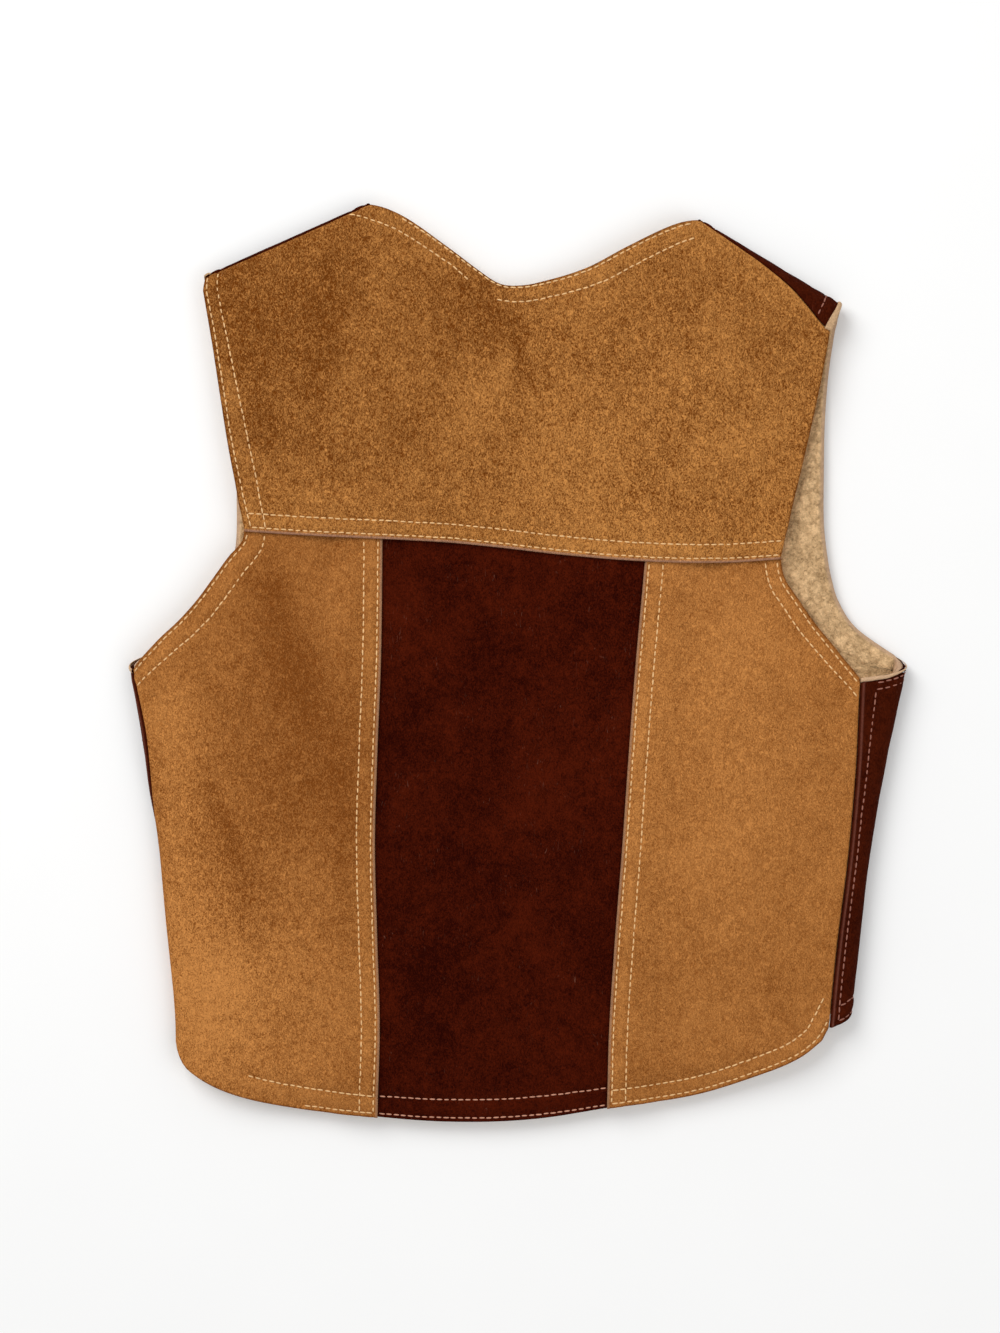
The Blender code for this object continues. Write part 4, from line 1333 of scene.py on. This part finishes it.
def suede_finish(name):
    """Brushed split suede: fibres with painted glints, mottled nap, soft clouds, brushed patches, painted
    edge shade, a painted highlight between stitch rows and paler cut edges.
    """
    colours, nap = bpy.context.scene.vest_suede, NAPS[name]
    base = tuple(getattr(colours, name.split("_")[0]))
    finish = Finish(name + "_nap", 0.96, sheen=0.025, sheen_tint=tuple(min(1.0, c * 2.2) for c in base))
    lean = finish.stretched(0.5, (1.0, 0.62, 1.0))
    grain = finish.noise(nap.grain, 2.0, 0.7, 0.4, where=lean)
    # Curling fibres, painted lighter: the suede's own grain, with painted glints where the fibres catch the
    # light
    strand = finish.noise(nap.fibre, 2.0, 0.5, 1.8, where=lean)
    fibre = (1.0 - (strand - 0.5).unsigned() * 9.0).clamped()
    clump = finish.noise(nap.clump, 4.0, 0.62, 0.6)
    cloud = finish.noise(0.020, 4.0, 0.55, 0.8)
    wide = finish.noise(0.07, 2.0, 0.5, 0.5)
    # Painted shade and a painted highlight come in with the nap attribute, beside the brushed nap
    shade = (0.235 + finish.mark("coarse") * (nap.speckle * (0.58 * (grain - 0.5) + 0.19 * fibre)
                                             + nap.mottle * 0.67 * (clump - 0.5))
             + nap.cloud * (0.33 * (cloud - 0.5) + 0.27 * (wide - 0.5)) + 0.67 * finish.mark("nap"))
    dark = tuple(c * max(0.0, 1 - nap.spread * fall) for c, fall in zip(base, DARKER))
    light = tuple(min(c * (1 + nap.spread * rise), 1.0) for c, rise in zip(base, LIGHTER))
    skin = finish.mix(dark, light, shade.clamped())
    cut = finish.mark("raw") * (0.8 + 0.9 * (grain - 0.5))
    skin = finish.mix(skin, nap.edge, cut.clamped())
    if nap.lint:
        hair = finish.noise(0.0026, 1.0, 0.4, 5.0, where=finish.stretched(1.1, (1.0, 0.2, 1.0)))
        thin = finish.noise(0.016, 2.0, 0.5)
        lint = ((hair - 0.69) * 16.0).clamped() * ((thin - 0.5) * 5.0).clamped() * nap.lint
        skin = finish.mix(skin, LINT, (lint * 0.6).clamped())
    finish.colour(skin)
    finish.bump(0.5 * grain + 0.9 * clump + 0.25 * fibre, nap.relief * 2)
    return finish.material


def pile_finish():
    """Curly pile: light tips, painted shade in the creases between the curls, and the smooth pale turned
    edge.
    """
    colours = bpy.context.scene.vest_pile
    finish = Finish("cream_pile_curls", 0.97, sheen=0.06, sheen_tint=(1.0, 0.9, 0.75))
    curl = finish.noise(0.0016, 4.0, 0.6, 1.2)
    patch = finish.noise(0.012, 3.0, 0.55, 0.5)
    # Painted shade: the pile is painted lighter on the tops of its lumps and curls and darker in the creases
    # between them
    shade = 0.26 + 0.68 * finish.mark("lump") + 1.5 * (curl - 0.5) + 0.9 * (patch - 0.5)
    skin = finish.mix(tuple(colours.crease_shade), tuple(colours.tip), shade.clamped())
    skin = finish.mix(skin, tuple(colours.hide), (finish.mark("bare") * 0.85).clamped())
    finish.colour(skin)
    finish.bump(curl, 0.0011)
    return finish.material


def thread_finish(name, colour):
    finish = Finish(name, 0.62)
    ply = finish.noise(0.0006, 2.0, 0.5)
    worn = finish.noise(0.008, 2.0, 0.5)
    shade = (0.5 + 0.8 * (ply - 0.5) + 1.1 * (worn - 0.5)).clamped()
    dark, light = tuple(c * 0.72 for c in colour), tuple(min(1.0, c * 1.22) for c in colour)
    finish.colour(finish.mix(dark, light, shade))
    finish.bump(ply, 0.0002)
    return finish.material


def floor_finish(colour):
    finish = Finish("pale_floor", 0.9)
    speck = finish.noise(0.05, 3.0, 0.5)
    finish.colour(finish.mix(tuple(c * 0.985 for c in colour), colour, speck))
    return finish.material


def length_of(name, default, description):
    return FloatProperty(name=name, description=description, unit="LENGTH", precision=4, default=default)


def colour_of(name, default, description):
    return FloatVectorProperty(
        name=name, description=description, subtype="COLOR", size=3, min=0, max=1, default=default)


class VestSuede(bpy.types.PropertyGroup):
    """Colours and edge sizes of the suede."""

    caramel: colour_of("Caramel", (0.325, 0.120, 0.027), "Suede of the yoke")
    tan: colour_of("Tan", (0.355, 0.128, 0.030), "Suede of the side panels")
    oxblood: colour_of("Oxblood", (0.040, 0.0036, 0.0006), "Suede of the centre panel")
    brown: colour_of("Brown", (0.042, 0.0050, 0.0010), "Suede of the fronts")
    turned_roll: length_of("Turned roll", 0.0015, "Width over which a turned edge rounds off")
    turned_drop: length_of("Turned drop", 0.0009, "Depth to which a turned edge rounds off")
    raw_roll: length_of("Raw bevel", 0.0011, "Width of the bevel of a cut edge")
    raw_drop: length_of("Raw drop", 0.00045, "Depth of the bevel of a cut edge")
    seam_drop: length_of("Seam groove", 0.0009, "Depth of the groove at a seam")
    puff: length_of("Puff", 0.00035, "Height of the suede between two stitch rows")
    press: length_of("Press", 0.00045, "Depth to which a stitch row draws in the suede")
    # Painted highlight on the puffed band between two stitch rows
    band: FloatProperty(
        name="Band", description="How much lighter the suede is rubbed between two stitch rows", default=0.20)
    # Painted shade at the suede's very edge
    rim: FloatProperty(
        name="Rim", description="How much darker the suede is at its very edge", default=0.45)
    worn: FloatProperty(
        name="Worn", description="How much lighter the suede is rubbed at the shoulder seam", default=0.35)


class VestStitching(bpy.types.PropertyGroup):
    """Size and colours of the topstitching."""

    pitch: length_of("Pitch", 0.00355, "Length from one stitch to the next")
    length: length_of("Stitch length", 0.0030, "Length of thread that shows")
    width: length_of("Thread", 0.00078, "Width of the thread")
    lift: length_of("Lift", 0.00016, "Height of the thread's middle over the suede")
    on_tan: colour_of("Peach thread", (0.88, 0.53, 0.25), "Thread on the tan suedes")
    # Painted shade: the rose and the brown thread are the peach thread painted darker
    on_dark: colour_of("Rose thread", (0.62, 0.30, 0.20), "Thread on the dark centre panel")
    on_fronts: colour_of("Brown thread", (0.34, 0.14, 0.10), "Thread on the fronts")


class VestPile(bpy.types.PropertyGroup):
    """Size and colours of the curly pile."""

    clump: length_of("Clump", 0.0062, "Width of a clump of curls")
    curl: length_of("Curl", 0.0024, "Width of one curl")
    rise: length_of("Rise", 0.0016, "Height of the clumps")
    tip: colour_of("Curl tips", (0.98, 0.645, 0.34), "Colour of the pile's tips")
    # Painted shade: the colour painted into the creases between the curls
    crease_shade: colour_of("Curl roots", (0.26, 0.150, 0.062), "Colour deep in the pile")
    hide: colour_of("Backing", (0.62, 0.40, 0.26), "Colour of the lining's bare edge")


class VestStage(bpy.types.PropertyGroup):
    """Floor, lights and camera."""

    floor: colour_of("Floor", (0.97, 0.97, 0.965), "Colour of the floor")
    height: length_of("Camera height", 1.3, "Height of the camera over the vest")
    view_length: length_of("View", 0.653, "Length of the floor that the camera sees")
    turn: FloatProperty(
        name="Camera turn", description="Turn of the camera about its own axis", unit="ROTATION",
        default=math.radians(2.2))
    key: FloatProperty(
        name="Key light", description="Power of the large light overhead", unit="POWER", default=21.0)
    sky: FloatProperty(name="Sky", description="Strength of the even light from all round", default=0.48)


# The two square lights: place, size, and share of the key light's power
Lamp = namedtuple("Lamp", "name spot size share")
LAMPS = (Lamp("key", (-0.85, 0.95, 1.35), 1.2, 1.0), Lamp("fill", (0.9, -0.6, 1.5), 1.4, 0.4))

# Half the floor's length, how far it lies under the vest, what the camera looks at, and the height there
FLOOR_HALF = 3.0
FLOOR_CLEAR = 0.0004
VIEW_CENTRE = (-0.0090, -0.0005)
VEST_TOP = 0.013


def hang_light(lamp, power):
    """Hangs one square soft light that points at the vest."""
    light = bpy.data.lights.new(lamp.name, "AREA")
    light.size = lamp.size
    light.energy = power
    hung = bpy.data.objects.new(lamp.name, light)
    hung.location = lamp.spot
    hung.rotation_euler = (-Vector(lamp.spot)).to_track_quat("-Z", "Y").to_euler()
    bpy.context.scene.collection.objects.link(hung)


class VEST_OT_suede(bpy.types.Operator):
    """Builds the six suede pieces, each as a shell on its solid's form"""

    bl_idname = "vest.suede"
    bl_label = "Suede pieces"

    def execute(self, context):
        finishes = {name: suede_finish(name) for name in NAPS}
        for piece in back_pieces() + front_pieces():
            suede_shell(piece, finishes[piece.finish])
        return {"FINISHED"}


class VEST_OT_lining(bpy.types.Operator):
    """Builds the three pieces of pile lining"""

    bl_idname = "vest.lining"
    bl_label = "Pile lining"

    def execute(self, context):
        pile = pile_finish()
        across, up = pile_grids(BACK_PILE)
        lining_shell("lining_back", back_lining_patch(), across[1:-1], up[1:-1], BACK, pile)
        for side in SIDES:
            name, (across, up) = "lining_front_" + name_of(side), pile_grids(FRONT_PILE[side])
            lining_shell(name, front_patch(side), across[1:], up[2:-1], FRONT, pile)
            turned_lining(side, pile)
        return {"FINISHED"}


class VEST_OT_stitching(bpy.types.Operator):
    """Sews the twin rows of topstitching on every suede piece"""

    bl_idname = "vest.stitching"
    bl_label = "Topstitching"

    def execute(self, context):
        threads = context.scene.vest_stitching
        peach = thread_finish("peach_thread", tuple(threads.on_tan))
        # Painted shade: the thread on the centre panel and on the fronts is the peach thread painted darker
        shaded_centre_thread = thread_finish("rose_thread", tuple(threads.on_dark))
        brown = thread_finish("brown_thread", tuple(threads.on_fronts))
        for piece in back_pieces() + front_pieces():
            sew(piece, {"oxblood_suede": shaded_centre_thread, "brown_suede": brown}.get(piece.finish, peach))
        return {"FINISHED"}


class VEST_OT_stage(bpy.types.Operator):
    """Lays the floor, hangs the lights and sets the camera straight above"""

    bl_idname = "vest.stage"
    bl_label = "Floor, lights and camera"

    def execute(self, context):
        scene, stage = context.scene, context.scene.vest_stage
        bm = bmesh.new()
        bmesh.ops.create_grid(bm, x_segments=1, y_segments=1, size=FLOOR_HALF)
        bmesh.ops.translate(bm, verts=bm.verts[:], vec=(0, 0, -FLOOR_CLEAR))
        mesh = bpy.data.meshes.new("floor")
        bm.to_mesh(mesh)
        bm.free()
        link("floor", mesh, floor_finish(tuple(stage.floor)))
        for lamp in LAMPS:
            hang_light(lamp, stage.key * lamp.share)
        world = bpy.data.worlds.new("sky")
        world.use_nodes = True
        background = world.node_tree.nodes["Background"]
        background.inputs["Color"].default_value = (1.0, 1.0, 1.0, 1)
        background.inputs["Strength"].default_value = stage.sky
        scene.world = world
        scene.view_settings.view_transform = "Standard"
        lens = bpy.data.cameras.new("camera")
        lens.sensor_fit = "VERTICAL"
        lens.sensor_height = 36.0
        lens.lens = lens.sensor_height * stage.height / stage.view_length
        camera = bpy.data.objects.new("camera", lens)
        camera.location = (*VIEW_CENTRE, stage.height + VEST_TOP)
        camera.rotation_euler = (0, 0, stage.turn)
        scene.collection.objects.link(camera)
        scene.camera = camera
        return {"FINISHED"}


class VEST_PT_panel(bpy.types.Panel):
    """Lists the vest's pieces and their sizes in the sidebar."""

    bl_label = "Western Vest"
    bl_idname = "VEST_PT_panel"
    bl_space_type = "VIEW_3D"
    bl_region_type = "UI"
    bl_category = "Vest"

    def draw(self, context):
        for name in GROUPS:
            box = self.layout.box()
            group = getattr(context.scene, name)
            for prop in group.bl_rna.properties:
                if prop.identifier not in ("rna_type", "name"):
                    box.prop(group, prop.identifier)
        for operator in OPERATORS:
            self.layout.operator(operator.bl_idname)


GROUPS = {"vest_suede": VestSuede, "vest_stitching": VestStitching, "vest_pile": VestPile,
          "vest_stage": VestStage}
OPERATORS = (VEST_OT_suede, VEST_OT_lining, VEST_OT_stitching, VEST_OT_stage)


def register():
    for group in GROUPS.values():
        bpy.utils.register_class(group)
    for name, group in GROUPS.items():
        setattr(bpy.types.Scene, name, PointerProperty(type=group))
    for operator in OPERATORS:
        bpy.utils.register_class(operator)
    bpy.utils.register_class(VEST_PT_panel)


def unregister():
    bpy.utils.unregister_class(VEST_PT_panel)
    for operator in reversed(OPERATORS):
        bpy.utils.unregister_class(operator)
    for name, group in reversed(GROUPS.items()):
        delattr(bpy.types.Scene, name)
        bpy.utils.unregister_class(group)


def main():
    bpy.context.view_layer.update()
    register()
    bpy.ops.vest.suede()
    bpy.ops.vest.lining()
    bpy.ops.vest.stitching()
    bpy.ops.vest.stage()


if __name__ == "__main__":
    main()
